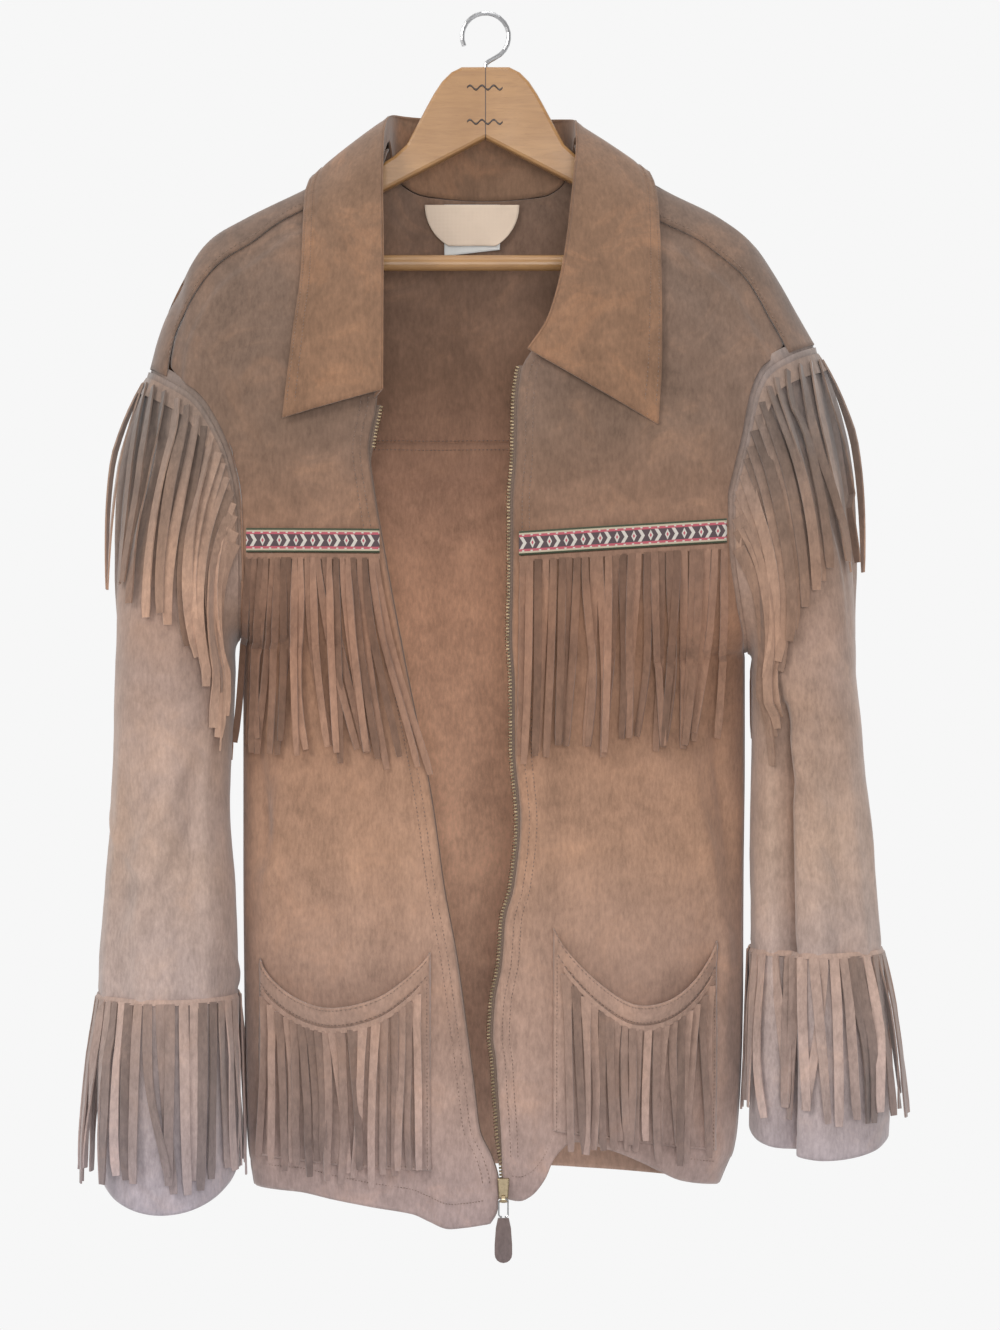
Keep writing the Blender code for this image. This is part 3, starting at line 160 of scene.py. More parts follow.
# one material and its Principled shader, or the world's nodes
class Shop:
    def __init__(self, name, **fixed):
        if isinstance(name, bpy.types.World):
            self.tree = name.node_tree
            return
        self.material = bpy.data.materials.new(name)
        self.material.use_nodes = True
        self.tree = self.material.node_tree
        self.shader = self.tree.nodes["Principled BSDF"]
        for socket, value in fixed.items():
            name = socket.replace("_", " ").title()
            self.shader.inputs[name.replace("Ior", "IOR")].default_value = value

    def node(self, kind, settings=None, sockets=None, out=0):
        made = self.tree.nodes.new(kind)
        for key, value in (settings or {}).items():
            if key == "stops":
                stops = made.color_ramp.elements
                for _ in range(len(value) - 2):
                    stops.new(0.5)
                for stop, (place, colour) in zip(stops, value):
                    stop.position = place
                    stop.color = (*colour, 1)
            else:
                setattr(made, key, value)
        for key, value in (sockets or {}).items():
            if isinstance(value, Wire):
                self.tree.links.new(value.socket, made.inputs[key])
            else:
                made.inputs[key].default_value = value
        return Wire(self, made.outputs[out])

    def place(self):
        return self.node("ShaderNodeTexCoord", out="Object")

    def uv(self):
        return self.node("ShaderNodeTexCoord", out="UV")

    def axis(self, vector, letter):
        return self.node("ShaderNodeSeparateXYZ", None, {0: vector}, out=letter)

    def scaled(self, vector, scale):
        return self.node("ShaderNodeVectorMath", {"operation": "MULTIPLY"}, {0: vector, 1: scale})

    def noise(self, vector, scale, detail=3.0, roughness=0.5, distortion=0.0):
        return self.node("ShaderNodeTexNoise", None, {"Vector": vector, "Scale": scale, "Detail": detail,
                                                     "Roughness": roughness, "Distortion": distortion})

    def mixed(self, share, first, second, blend="MIX"):
        def colour(value):
            return value if isinstance(value, Wire) else (*value, 1)
        return self.node("ShaderNodeMix", {"data_type": "RGBA", "blend_type": blend},
                         {0: share, 6: colour(first), 7: colour(second)}, out=2)

    def colours(self, share, stops):
        return self.node("ShaderNodeValToRGB", {"stops": stops}, {0: share})

    def bump(self, height, distance, strength=1.0):
        sockets = {"Height": height, "Distance": distance, "Strength": strength}
        made = self.node("ShaderNodeBump", None, sockets)
        self.tree.links.new(made.socket, self.shader.inputs["Normal"])

    def give(self, socket, value):
        self.tree.links.new(value.socket, self.shader.inputs[socket])


makeCamera()
makeLights()
print("camera and lights are set")


# lines and tables of the jacket's shape, in millimetres

# a smooth line through stations
class Line:
    def __init__(self, keys, values):
        keys, values = np.asarray(keys, float), np.asarray(values, float)
        if keys[0] > keys[-1]:
            keys, values = keys[::-1], values[::-1]
        step = np.diff(keys)
        slope = np.diff(values, axis=0) / step.reshape((-1,) + (1,) * (values.ndim - 1))
        turn = np.zeros_like(values)
        turn[0], turn[-1] = slope[0], slope[-1]
        before, after = slope[:-1], slope[1:]
        total = np.where(before * after > 0, before + after, 1.0)
        turn[1:-1] = np.where(before * after > 0, 2 * before * after / total, 0.0)
        if values.ndim == 1:
            values, turn = values.tolist(), turn.tolist()
        self.keys, self.values, self.turn = keys.tolist(), values, turn

    def __call__(self, key):
        keys = self.keys
        key = min(max(float(key), keys[0]), keys[-1])
        i = min(bisect.bisect_right(keys, key) - 1, len(keys) - 2)
        step = keys[i + 1] - keys[i]
        t = (key - keys[i]) / step
        start = self.values[i] * (1 + 2 * t) * (1 - t) ** 2 + self.turn[i] * step * t * (1 - t) ** 2
        end = self.values[i + 1] * t * t * (3 - 2 * t) - self.turn[i + 1] * step * t * t * (1 - t)
        return start + end


# a line through points, read by its share of the length
def route(points):
    points = np.asarray(points, float)
    run = np.concatenate([[0], np.cumsum(np.linalg.norm(np.diff(points, axis=0), axis=1))])
    return Line(run / run[-1], points)


def table(rows):
    rows = np.asarray(rows, float) * mm
    return Line(rows[:, 0], rows[:, 1:] if rows.shape[1] > 2 else rows[:, 1])


def mix(start, end, share):
    return start + (end - start) * share


def clamp(value, low=0.0, high=1.0):
    return min(max(value, low), high)


def rounded(distance, radius):
    return math.sqrt(1 - (1 - clamp(distance / radius)) ** 2)


def scaled(points):
    return [Vector((x * mm, z * mm)) for x, z in points]


def named(piece, side):
    return piece + ("Right" if side == right else "Left")


def nodeOf(piece, side):
    return piece + ("_right" if side == right else "_left")


def toFront(point):
    return Vector((0, -1, 0))


def toBack(point):
    return Vector((0, 1, 0))


# shoulder ridge: distance from the middle, height
ridge = {
    right: table([(0, -85), (50, -91), (74, -101), (100, -114), (134, -131), (160, -143), (178, -152),
                  (200, -164), (213, -174), (225, -190), (231, -208), (241, -226), (250, -248),
                  (255, -269)]),
    left: table([(0, -85), (50, -90), (68, -98), (100, -113), (126, -128), (163, -146), (178, -154),
                 (195, -165), (208, -180), (225, -206), (239, -231), (250, -250)]),
}

# half width of the body: height, distance of the side from the middle
bodyWidth = {
    right: table([(-80, 262), (-269, 262), (-300, 246), (-350, 228), (-400, 212), (-440, 200),
                  (-475, 184), (-640, 184), (-760, 183), (-850, 181), (-888, 176), (-925, 174)]),
    left: table([(-80, 258), (-250, 258), (-300, 244), (-350, 228), (-400, 217), (-440, 208), (-486, 197),
                 (-560, 197), (-660, 196), (-740, 195.7), (-830, 193), (-860, 189), (-887, 178),
                 (-925, 176)]),
}

# fullness of the front and back at the middle: height, depth
crown = {
    front: table([(-80, 40), (-200, 50), (-300, 57), (-450, 62), (-600, 63), (-760, 61), (-925, 56)]),
    back: table([(-80, 40), (-150, 42), (-300, 46), (-600, 47), (-925, 44)]),
}

# soft folds: face, start x and z, end x and z, width, height
folds = [
    (front, -112, -600, -66, -880, 22, 5),
    (front, -152, -560, -140, -700, 16, 4),
    (front, 42, -560, 42, -900, 30, 3),
    (front, 140, -540, 165, -690, 18, 4),
    (front, 105, -860, 95, -600, 24, -3),
    (back, -96, -470, -104, -900, 24, 7),
    (back, 90, -450, 100, -900, 24, 7),
    (back, 4, -560, -8, -900, 22, 5),
    (back, -40, -340, -70, -560, 20, 3),
]

# front edges from the hem up to the neck, then the neck to the shoulder seam: x, z
frontEdge = {
    right: [(4, -908), (9, -899), (11, -886), (9.5, -873), (5, -858), (-4, -838), (-7.6, -810),
            (-13.5, -764), (-21, -709), (-30, -661), (-39.5, -594), (-62, -480), (-75, -408),
            (-82.6, -363), (-86, -334), (-80, -293), (-81, -250), (-83, -200), (-83, -150), (-80, -124)],
    left: [(14, -889), (13, -875), (11.5, -838), (9.5, -810), (8, -786), (5.8, -768), (7.3, -742),
           (12.5, -714), (15, -681), (21, -659), (26, -609), (22, -552), (22, -508), (20, -474),
           (20.7, -423), (20.7, -371), (23, -338), (23.6, -303), (26.6, -275), (34, -261), (50, -242),
           (58, -219), (64, -200), (70, -158), (72, -126)],
}

# Front half of each armhole from the underarm to the shoulder seam, then on to the shoulder tip: x, z
armholeFront = {
    right: [(-184, -475), (-181, -430), (-182, -380), (-188, -345), (-200, -315), (-215, -293),
            (-238, -278)],
    left: [(197, -486), (189, -450), (183, -410), (181.8, -371), (186, -350), (192, -326), (199, -292),
           (208, -273), (227, -260)],
}
armholeBack = {
    right: [(-184, -475), (-190, -430), (-199, -380), (-210, -331), (-226, -300), (-242, -282)],
    left: [(197, -486), (199, -430), (204, -380), (212, -331), (224, -290), (238, -264)],
}
shoulderTip = {right: (-255, -269), left: (250, -250)}

# hems from the front edge, or the middle of the back, out to the side seam: x, z
frontHem = {
    right: [(4, -908), (-15, -911), (-26, -912), (-42, -906), (-54, -901), (-81, -897), (-114, -892),
            (-142, -888), (-176, -888)],
    left: [(14, -889), (25, -891), (34, -887), (44, -875), (52, -858), (66, -847), (90, -853),
           (116, -864), (129, -871), (147, -880), (178, -887)],
}
backHem = [(-176, -888), (-110, -884), (0, -880), (110, -884), (178, -887)]

# forward shoulder seams from the neck out to the armhole, and the back of the neck: x, z
shoulderSeam = {
    right: [(-80, -124), (-132, -148), (-157, -161), (-176, -176), (-199, -191), (-213, -206),
            (-226, -229), (-234, -250), (-238, -278)],
    left: [(72, -126), (100, -142), (127, -159), (160, -175), (175, -186), (196, -205), (212, -232),
           (220, -246), (227, -260)],
}
neckSide = {right: (-74, -101), left: (68, -98)}
backNeck = [(-74, -101), (-68, -122), (-46, -134), (0, -137), (44, -134), (62, -122), (68, -98)]

# rings of the sleeves: height, inner x, outer x, middle y, half depth, all outward from the middle
sleeveRings = {
    right: table([(-500, 189, 279, -12, 55), (-596, 193, 282, -14, 55), (-672, 188, 287.5, -15, 56),
                  (-735, 187, 291, -16, 57), (-837, 186, 292, -17, 58), (-920, 187, 286, -17, 58)]),
    left: table([(-500, 201, 280, -10, 53), (-558, 201, 285, -12, 54), (-672, 200, 295, -14, 56),
                 (-735, 200, 300, -15, 57), (-800, 199, 303, -16, 58), (-870, 199, 303, -16, 58)]),
}
# hem of the sleeve: middle height, how much lower its front is than its back
sleeveHem = {right: (-868 * mm, 30 * mm), left: (-842 * mm, 16 * mm)}
cuffSeam = {right: -740 * mm, left: -706 * mm}
cuffFringeLength = {right: 136 * mm, left: 120 * mm}

# folds down the sleeves: side, angle, top and bottom height, width in degrees, height
sleeveFolds = [
    (left, 128, -520, -900, 16, -15),
    (left, 62, -560, -760, 16, -4),
    (right, 120, -540, -700, 18, -5),
    (right, 50, -600, -780, 18, -4),
    (right, 245, -520, -760, 20, -6),
    (left, 240, -600, -760, 20, -6),
]

# pockets: x of the inner and outer side, z of their lower and upper corners, sag of the mouth
pockets = {
    right: dict(inner=-40, outer=-169, innerBottom=-868, outerBottom=-862, innerTop=-706, outerTop=-714,
                sag=35),
    left: dict(inner=50, outer=172, innerBottom=-838, outerBottom=-858, innerTop=-688, outerTop=-700,
               sag=50),
}

# collar from the right front end round the neck: neck x z, roll x y z, edge x z, face or ridge
ridgeRow = 0
collarRows = [
    (-81, -296, -75, -67, -290, -150, -311, front),
    (-81, -250, -75, -63, -240, -143, -247, front),
    (-83, -200, -75, -54, -185, -137, -197, front),
    (-83, -150, -76, -40, -125, -136, -160, front),
    (-78, -118, -76, -20, -92, -135, -142, front),
    (-73, -101, -73, 0, -76, -130, -129, ridgeRow),
    (-69, -118, -66, 19, -71, -114, -144, back),
    (-48, -133, -46, 32, -70, -76, -157, back),
    (0, -137, 0, 38, -70, 0, -162, back),
    (46, -133, 42, 32, -71, 76, -157, back),
    (64, -117, 60, 19, -74, 106, -143, back),
    (68, -98, 68, 0, -80, 122, -126, ridgeRow),
    (71, -120, 68, -22, -100, 128, -143, front),
    (71, -156, 65, -40, -132, 130, -168, front),
    (65, -200, 58, -54, -190, 131, -205, front),
    (52, -240, 46, -62, -236, 131, -262, front),
    (36, -262, 31, -67, -260, 128, -316, front),
]

# creases laid on the front and back: face, start x and z, end x and z, width, height
creases = [
    (front, -66, -566, -34, -900, 9, 2.6),
    (front, -90, -590, -74, -700, 8, -1.8),
    (front, -150, -575, -168, -700, 7, 2.2),
    (front, -172, -560, -160, -640, 6, -1.8),
    (front, -120, -640, -175, -655, 7, 1.5),
    (front, -110, -668, -172, -690, 8, -1.4),
    (front, -30, -700, -12, -800, 8, 1.7),
    (front, -140, -830, -80, -880, 10, 1.6),
    (front, -60, -852, -20, -905, 9, -1.8),
    (front, -100, -330, -150, -380, 10, 1.5),
    (front, -130, -230, -205, -300, 12, 1.6),
    (front, -110, -250, -176, -360, 12, -1.4),
    (front, 38, -560, 32, -720, 8, 2.2),
    (front, 58, -570, 60, -700, 9, -1.6),
    (front, 40, -740, 30, -880, 9, 2.0),
    (front, 150, -560, 184, -730, 8, 2.4),
    (front, 172, -545, 186, -650, 6, -2.0),
    (front, 130, -566, 168, -640, 8, 1.7),
    (front, 90, -600, 150, -660, 10, 1.2),
    (front, 178, -700, 176, -860, 7, 2.0),
    (front, 60, -835, 140, -868, 9, 1.6),
    (front, 110, -300, 168, -350, 12, 1.8),
    (front, 60, -300, 120, -390, 14, -1.2),
    (front, 130, -200, 190, -300, 12, 1.7),
    (back, -120, -350, -140, -600, 12, 2.2),
    (back, 120, -350, 136, -620, 12, 2.2),
    (back, -60, -560, -40, -880, 10, 2.4),
    (back, 50, -560, 62, -880, 10, 2.4),
    (back, -170, -480, -110, -560, 9, 1.8),
    (back, 184, -490, 120, -560, 9, 1.8),
    (back, -110, -600, 20, -622, 12, 1.2),
    (back, 20, -660, 130, -690, 12, 1.2),
    (back, -150, -170, -60, -230, 14, 1.3),
    (back, 150, -170, 60, -230, 14, 1.3),
    (back, 0, -200, 0, -320, 16, 1.0),
]
clothLook = {"waveSize": 55 * mm, "waveHeight": 1.1 * mm, "rippleSize": 16 * mm, "rippleHeight": 0.28 * mm}
bodyLook = {"armholeDepth": 42 * mm, "armholeRound": 100 * mm, "ridgeRound": 60 * mm, "ridgePower": 0.7,
            "lensPower": 2.2, "lensFullness": 0.55, "yokeHem": -331 * mm}
underarm = {right: -475 * mm, left: -486 * mm}


def foldHeight(x, z, face, rows, bend=0.75):
    total = 0.0
    for x0, z0, runX, runZ, length, width, height in rows[face]:
        awayX, awayZ = x - x0, z - z0
        share = clamp((awayX * runX + awayZ * runZ) / length)
        off = ((awayX - runX * share) ** 2 + (awayZ - runZ * share) ** 2) / width
        if off < 9:
            total += height * math.exp(-off) * math.sin(math.pi * (0.2 + bend * share))
    return total


# the rows of each face in metres: start, run, squared length and width, height
def readyFolds(rows, grow=1.0):
    ready = {front: [], back: []}
    for face, x0, z0, x1, z1, width, height in rows:
        runX, runZ = (x1 - x0) * mm, (z1 - z0) * mm
        facts = (x0 * mm, z0 * mm, runX, runZ, runX ** 2 + runZ ** 2, (width * mm) ** 2, height * mm * grow)
        ready[face].append(facts)
    return ready


readyForms, readyCreases = readyFolds(folds), readyFolds(creases, 1.7)


def depth(x, z, face):
    side = left if x > 0 else right
    spread = min(abs(x) / bodyWidth[side](z), 1.0)
    lens = (1 - spread ** bodyLook["lensPower"]) ** bodyLook["lensFullness"]
    edge = bodyLook["armholeDepth"] * rounded(z - underarm[side], bodyLook["armholeRound"])
    full = crown[face](z) + foldHeight(x, z, face, readyForms)
    below = max(ridge[side](abs(x)) - z, 0.0)
    fall = (1 - math.exp(-below / bodyLook["ridgeRound"])) ** bodyLook["ridgePower"]
    return (edge + (full - edge) * lens) * fall


# uneven hang of the cloth, out from its form
def softness(point):
    wide = noise.noise(point / clothLook["waveSize"]) * clothLook["waveHeight"]
    return wide + noise.noise(point / clothLook["rippleSize"]) * clothLook["rippleHeight"]


# a point on the body's cloth with its creases, moved out along its normal by lift
def bodyPoint(x, z, face, lift=0.0, soft=1.0):
    probe = 2 * mm
    here = depth(x, z, face)
    slopeX = (depth(x + probe, z, face) - here) / probe
    slopeZ = (depth(x, z + probe, face) - here) / probe
    normal = Vector((-slopeX, face, -slopeZ)).normalized()
    point = Vector((x, face * here, z))
    if soft:
        calm = clamp(here / (12 * mm)) * soft
        lift += (foldHeight(x, z, face, readyCreases, 0.7) + softness(point)) * calm
    return point + normal * lift


def patch(bottom, top, inner, outer):
    def at(u, v):
        corners = (1 - u) * (1 - v) * bottom(0) + u * (1 - v) * bottom(1)
        corners = corners + (1 - u) * v * top(0) + u * v * top(1)
        return mix(bottom(u), top(u), v) + mix(inner(v), outer(v), u) - corners
    return at


# sheets of cloth from grids

def link(name, mesh, finish):
    thing = bpy.data.objects.new(name, mesh)
    bpy.context.scene.collection.objects.link(thing)
    mesh.materials.append(finish)
    return thing


def meshOf(name, bm, finish, smooth=True):
    mesh = bpy.data.meshes.new(name)
    bm.to_mesh(mesh)
    bm.free()
    if smooth:
        mesh.shade_smooth()
    return link(name, mesh, finish)


# a grid whose corners are at(u, v) and whose UVs are u and v
def gridInto(bm, across, up, at, layer):
    made = bmesh.ops.create_grid(bm, x_segments=across, y_segments=up, size=1.0)
    flat = {}
    for vertex in made["verts"]:
        u = round((vertex.co.x + 1) / 2 * across) / across
        v = round((vertex.co.y + 1) / 2 * up) / up
        flat[vertex] = (u, v)
        vertex.co = at(u, v)
    for face in {face for vertex in made["verts"] for face in vertex.link_faces}:
        for loop in face.loops:
            loop[layer].uv = flat[loop.vert]


def turnOut(bm, outward):
    bmesh.ops.recalc_face_normals(bm, faces=bm.faces)
    bm.normal_update()
    lean = sum(face.normal.dot(outward(face.calc_center_median())) * face.calc_area() for face in bm.faces)
    if lean < 0:
        bmesh.ops.reverse_faces(bm, faces=bm.faces)


def thicken(thing, thickness, inner=None):
    solid = thing.modifiers.new("wall", "SOLIDIFY")
    solid.thickness = thickness
    solid.offset = -1
    solid.use_even_offset = False
    if inner:
        thing.data.materials.append(inner)
        solid.material_offset = 1


# the thing with its modifiers made real
def applied(thing):
    bpy.context.view_layer.update()
    evaluated = thing.evaluated_get(bpy.context.evaluated_depsgraph_get())
    mesh = bpy.data.meshes.new_from_object(evaluated)
    mesh.name = thing.name
    thing.modifiers.clear()
    thing.data = mesh
    return thing


def onJacket(thing):
    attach(thing, "jacket")
    return thing


def walled(name, bm, finish, thickness, replaces, inner=None):
    thing = meshOf(name, bm, finish)
    thicken(thing, thickness, inner)
    onJacket(applied(thing))
    if replaces:
        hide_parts(replaces)
    return thing


def clothPiece(name, grids, outward, finish, thickness=wall, weld=False, replaces=None,
               inner=None):
    bm = bmesh.new()
    layer = bm.loops.layers.uv.new("flat")
    for across, up, at in grids:
        gridInto(bm, across, up, at, layer)
    if weld:
        bmesh.ops.remove_doubles(bm, verts=bm.verts, dist=0.0001)
    turnOut(bm, outward)
    return walled(name, bm, finish, thickness, replaces, inner)


# finishes

suedeLook = {
    "heights": (-0.93, -0.10),
    # stops: colour by height from the hem (0) up to the shoulders (1), paler at the hem and darker at the
    # shoulders: painted light and shade
    "stops": [(0.0, (0.377, 0.290, 0.285)), (0.14, (0.400, 0.270, 0.220)), (0.36, (0.400, 0.233, 0.152)),
              (0.56, (0.330, 0.173, 0.104)), (0.74, (0.200, 0.125, 0.087)), (1.0, (0.165, 0.110, 0.082))],
    "cool": (0.27, 0.195, 0.17), "warm": (0.43, 0.225, 0.125),
    # inside colour by height: lightened in the middle against the shade inside the body and darkened at the
    # top: painted light and painted shade
    "insideStops": [(0.0, (0.400, 0.270, 0.215)), (0.36, (0.680, 0.395, 0.262)),
                    (0.58, (0.600, 0.320, 0.200)), (0.70, (0.370, 0.200, 0.130)),
                    (0.79, (0.225, 0.125, 0.080)), (1.0, (0.170, 0.112, 0.082))],
}


# tone and hue make each part's copy of the suede lighter, darker, warmer or cooler: painted light and shade,
# on top of the cloth's own colour
def suede(name, toneAndLight=1.0, coolness=0.3, strands=False, hueAndLight=(1.0, 1.0, 1.0),
          stops="stops"):
    shop = Shop(name, roughness=0.93, sheen_weight=0.28, sheen_roughness=0.5, specular_ior_level=0.25)
    place = shop.place()
    low, high = suedeLook["heights"]
    # base colour by height: painted light towards the hem and painted shade towards the shoulders
    base = shop.colours(shop.axis(place, "Z").ramp(low, high), suedeLook[stops])
    wide = shop.noise(place, 6.5, 4, 0.6, 0.4)
    patches = shop.noise(place, 19, 5, 0.7, 0.8)
    fine = shop.noise(place, 75, 4, 0.6)
    nap = shop.noise(shop.scaled(place, (1.0, 1.0, 0.35)), 420, 3, 0.7)
    base = shop.mixed(wide.ramp(0.42, 0.68, 0.0, coolness), base, suedeLook["cool"])
    base = shop.mixed(patches.ramp(0.52, 0.75, 0.0, 0.22), base, suedeLook["warm"])
    brushed = shop.noise(shop.scaled(place, (1.0, 1.0, 0.3)), 34, 4, 0.7, 0.5)
    tint = 0.50 * toneAndLight
    for layer, share in ((wide, 0.14), (patches, 0.22), (brushed, 0.16), (fine, 0.15), (nap, 0.26)):
        tint = layer.ramp(0.32, 0.68, 0.0, share * toneAndLight) + tint
    # each strand's random value in U sets its brightness: partly its own tone, partly painted light and shade
    # between strands
    if strands:
        one = shop.axis(shop.uv(), "X")
        tint = tint * one.ramp(0.0, 1.0, 0.58, 1.30)
    base = shop.mixed(1.0, base, tint, "MULTIPLY")
    shop.give("Base Color", shop.mixed(1.0, base, hueAndLight, "MULTIPLY"))
    shop.bump(nap * 0.5 + fine * 0.5, 0.5 * mm, 0.55)
    return shop.material


def thread(name, colour):
    shop = Shop(name, roughness=0.7, sheen_weight=0.2)
    twist = (shop.axis(shop.place(), "Z") * 5200 + shop.axis(shop.place(), "X") * 5200).sine()
    shop.give("Base Color", shop.mixed(twist.ramp(-1, 1, 0.0, 0.5), colour, (0.08, 0.05, 0.035)))
    return shop.material


def brass(name, colour, rough=0.36):
    shop = Shop(name, metallic=1.0)
    worn = shop.noise(shop.place(), 260, 4, 0.6)
    shop.give("Base Color", shop.mixed(worn.ramp(0.35, 0.7), colour, tuple(0.62 * c for c in colour)))
    shop.give("Roughness", worn.ramp(0.3, 0.7, rough - 0.08, rough + 0.16))
    return shop.material


def tapeWeave(name, colour):
    shop = Shop(name, roughness=0.88, sheen_weight=0.2)
    place = shop.place()
    ribs = (shop.axis(place, "Z") * 7000).sine() * 0.5 + 0.5
    shop.give("Base Color", shop.mixed(ribs, tuple(0.6 * c for c in colour), colour))
    shop.bump(ribs, 0.15 * mm, 0.5)
    return shop.material


braidLook = {
    "unit": 12.5 * mm, "olive": (0.045, 0.055, 0.025), "cream": (0.50, 0.43, 0.31),
    "pink": (0.46, 0.09, 0.12), "field": (0.085, 0.055, 0.06), "white": (0.60, 0.55, 0.49),
}


def braidWeave(name):
    look = braidLook
    shop = Shop(name, roughness=0.82, sheen_weight=0.25)
    across = (shop.axis(shop.uv(), "Y") - 0.5).size() * 2
    along = shop.axis(shop.place(), "X") / look["unit"]
    step = (along + 200).part()
    half = ((along * 2) + 200).part()
    arrow = ((step + across * 0.42).part() - 0.35).size().below(0.105) * across.below(0.60)
    head = ((step - 0.80).size() + across * 0.34).below(0.155)
    dots = (half - 0.5).size().below(0.13) * across.above(0.60) * across.below(0.70)
    colour = shop.mixed((arrow + head).least(1.0), look["field"], look["white"])
    colour = shop.mixed(((step - 0.80).size() + across * 0.4).below(0.075), colour, look["pink"])
    colour = shop.mixed(across.above(0.50), colour, look["pink"])
    colour = shop.mixed(dots, colour, look["white"])
    colour = shop.mixed(across.above(0.70), colour, look["cream"])
    colour = shop.mixed(across.above(0.84), colour, look["olive"])
    picks = (shop.axis(shop.place(), "X") * 9500).sine() * 0.5 + 0.5
    ends = (across * 62).sine() * 0.5 + 0.5
    weave = picks * 0.6 + ends * 0.4
    colour = shop.mixed(1.0, colour, 0.72 + weave * 0.42, "MULTIPLY")
    shop.give("Base Color", colour)
    shop.bump(weave, 0.25 * mm, 0.6)
    return shop.material


woodLook = {"honey": (0.405, 0.215, 0.080), "brown": (0.26, 0.125, 0.048), "joint": (0.07, 0.035, 0.018)}


def wood(name, joint=True):
    look = woodLook
    shop = Shop(name, coat_weight=0.25, coat_roughness=0.25)
    place = shop.place()
    drift = shop.noise(place, 11, 3, 0.55, 0.8)
    grain = shop.noise(shop.scaled(place, (26.0, 150.0, 190.0)), 1.0, 4, 0.65, 1.2)
    pores = shop.noise(shop.scaled(place, (120.0, 900.0, 1500.0)), 1.0, 2, 0.6)
    colour = shop.mixed(grain.ramp(0.38, 0.75, 0.0, 0.6), look["honey"], look["brown"])
    colour = shop.mixed(drift.ramp(0.45, 0.75, 0.0, 0.4), colour, look["brown"])
    colour = shop.mixed(pores.ramp(0.62, 0.72, 0.0, 0.45), colour, look["brown"])
    if joint:
        colour = shop.mixed(shop.axis(place, "X").size().below(0.4 * mm), colour, look["joint"])
    shop.give("Base Color", colour)
    shop.give("Roughness", drift.ramp(0.3, 0.7, 0.34, 0.50))
    shop.bump(grain * 0.6 + pores * 0.4, 0.2 * mm, 0.35)
    return shop.material


def labelWeave(name, colour):
    shop = Shop(name, roughness=0.8, sheen_weight=0.15)
    place = shop.place()
    ribs = (shop.axis(place, "X") * 6200).sine() * 0.5 + (shop.axis(place, "Z") * 6200).sine() * 0.5
    stain = shop.noise(place, 60, 3, 0.5)
    worn = shop.mixed(stain.ramp(0.45, 0.75, 0.0, 0.35), colour, tuple(0.8 * c for c in colour))
    shop.give("Base Color", shop.mixed(ribs.ramp(-1, 1, 0.0, 0.2), worn, tuple(0.7 * c for c in colour)))
    shop.bump(ribs, 0.12 * mm, 0.5)
    return shop.material


def paper(name, colour):
    shop = Shop(name, roughness=0.9)
    cloud = shop.noise(shop.place(), 0.8, 2)
    shop.give("Base Color", shop.mixed(cloud.ramp(0.3, 0.7, 0.0, 0.03), colour, (0.80, 0.80, 0.80)))
    return shop.material


finish = {
    # the suede parts are lighter, darker, warmer and cooler copies of one cloth: painted light and shade per
    # part; the leather tag has its own darker tone
    "body": suede("suede", 0.98, 0.14),
    # the inside of the cloth, with its painted light and painted shade by height
    "inside": suede("suedeInside", 1.0, 0.0, stops="insideStops"),
    "sleeve": suede("suedeSleeve", 1.03, 0.30, hueAndLight=(1.08, 1.28, 1.50)),
    "collar": suede("suedeCollar", 1.1, 0.0, hueAndLight=(1.12, 0.98, 0.82)),
    "strands": suede("suedeStrands", 0.86, 0.10, strands=True, hueAndLight=(0.92, 0.94, 1.0)),
    "armStrands": suede("suedeArmStrands", 0.88, 0.10, strands=True, hueAndLight=(1.35, 1.52, 1.7)),
    "pocketStrands": suede("suedePocketStrands", 0.88, 0.10, strands=True),
    "cuffStrands": suede("suedeCuffStrands", 0.92, 0.2, strands=True, hueAndLight=(1.06, 1.16, 1.26)),
    "thread": thread("thread", (0.24, 0.155, 0.11)),
    "teeth": brass("teethBrass", (0.30, 0.225, 0.14), 0.5),
    "tape": tapeWeave("tapeWeave", (0.20, 0.135, 0.10)),
    "braid": braidWeave("braidWeave"),
    "wood": wood("hangerWood"),
    "barWood": wood("barWood", joint=False),
    "staple": brass("stapleSteel", (0.12, 0.10, 0.09), 0.5),
    "steel": brass("hookSteel", (0.60, 0.60, 0.61), 0.26),
    "sliderBrass": brass("sliderBrass", (0.42, 0.33, 0.21), 0.34),
    "label": labelWeave("labelWeave", (0.80, 0.64, 0.50)),
    "care": labelWeave("careWeave", (0.76, 0.75, 0.72)),
    "tag": suede("tagLeather", 0.50, 0.5),
    "floor": paper("floorPaper", floor["colour"]),
}
print("finishes are made")


def makeFloor():
    bm = bmesh.new()
    layer = bm.loops.layers.uv.new("flat")
    reach = floor["size"] / 2

    def at(u, v):
        return Vector(((2 * u - 1) * reach, (2 * v - 1) * reach, floor["height"]))

    gridInto(bm, 12, 12, at, layer)
    turnOut(bm, lambda p: Vector((0, 0, 1)))
    meshOf("floor", bm, finish["floor"])


makeFloor()


# sewing: grooves in the cloth and threads on it

stitchLook = {"pitch": 3.1 * mm, "length": 2.3 * mm, "width": 0.75 * mm, "height": 0.5 * mm}


# height of cloth near rows of stitches: a groove at each and puckers between
def sewn(distance, rows, along, depthOf=0.55 * mm):
    total = 0.0
    for row in rows:
        off = (distance - row) / (1.5 * mm)
        total -= depthOf * math.exp(-off * off)
    near = (distance - rows[0]) / (9 * mm)
    pucker = noise.noise(Vector((along / 0.008, rows[0] * 300, 4.2))) * 0.5 * mm
    return total + pucker * math.exp(-near * near)


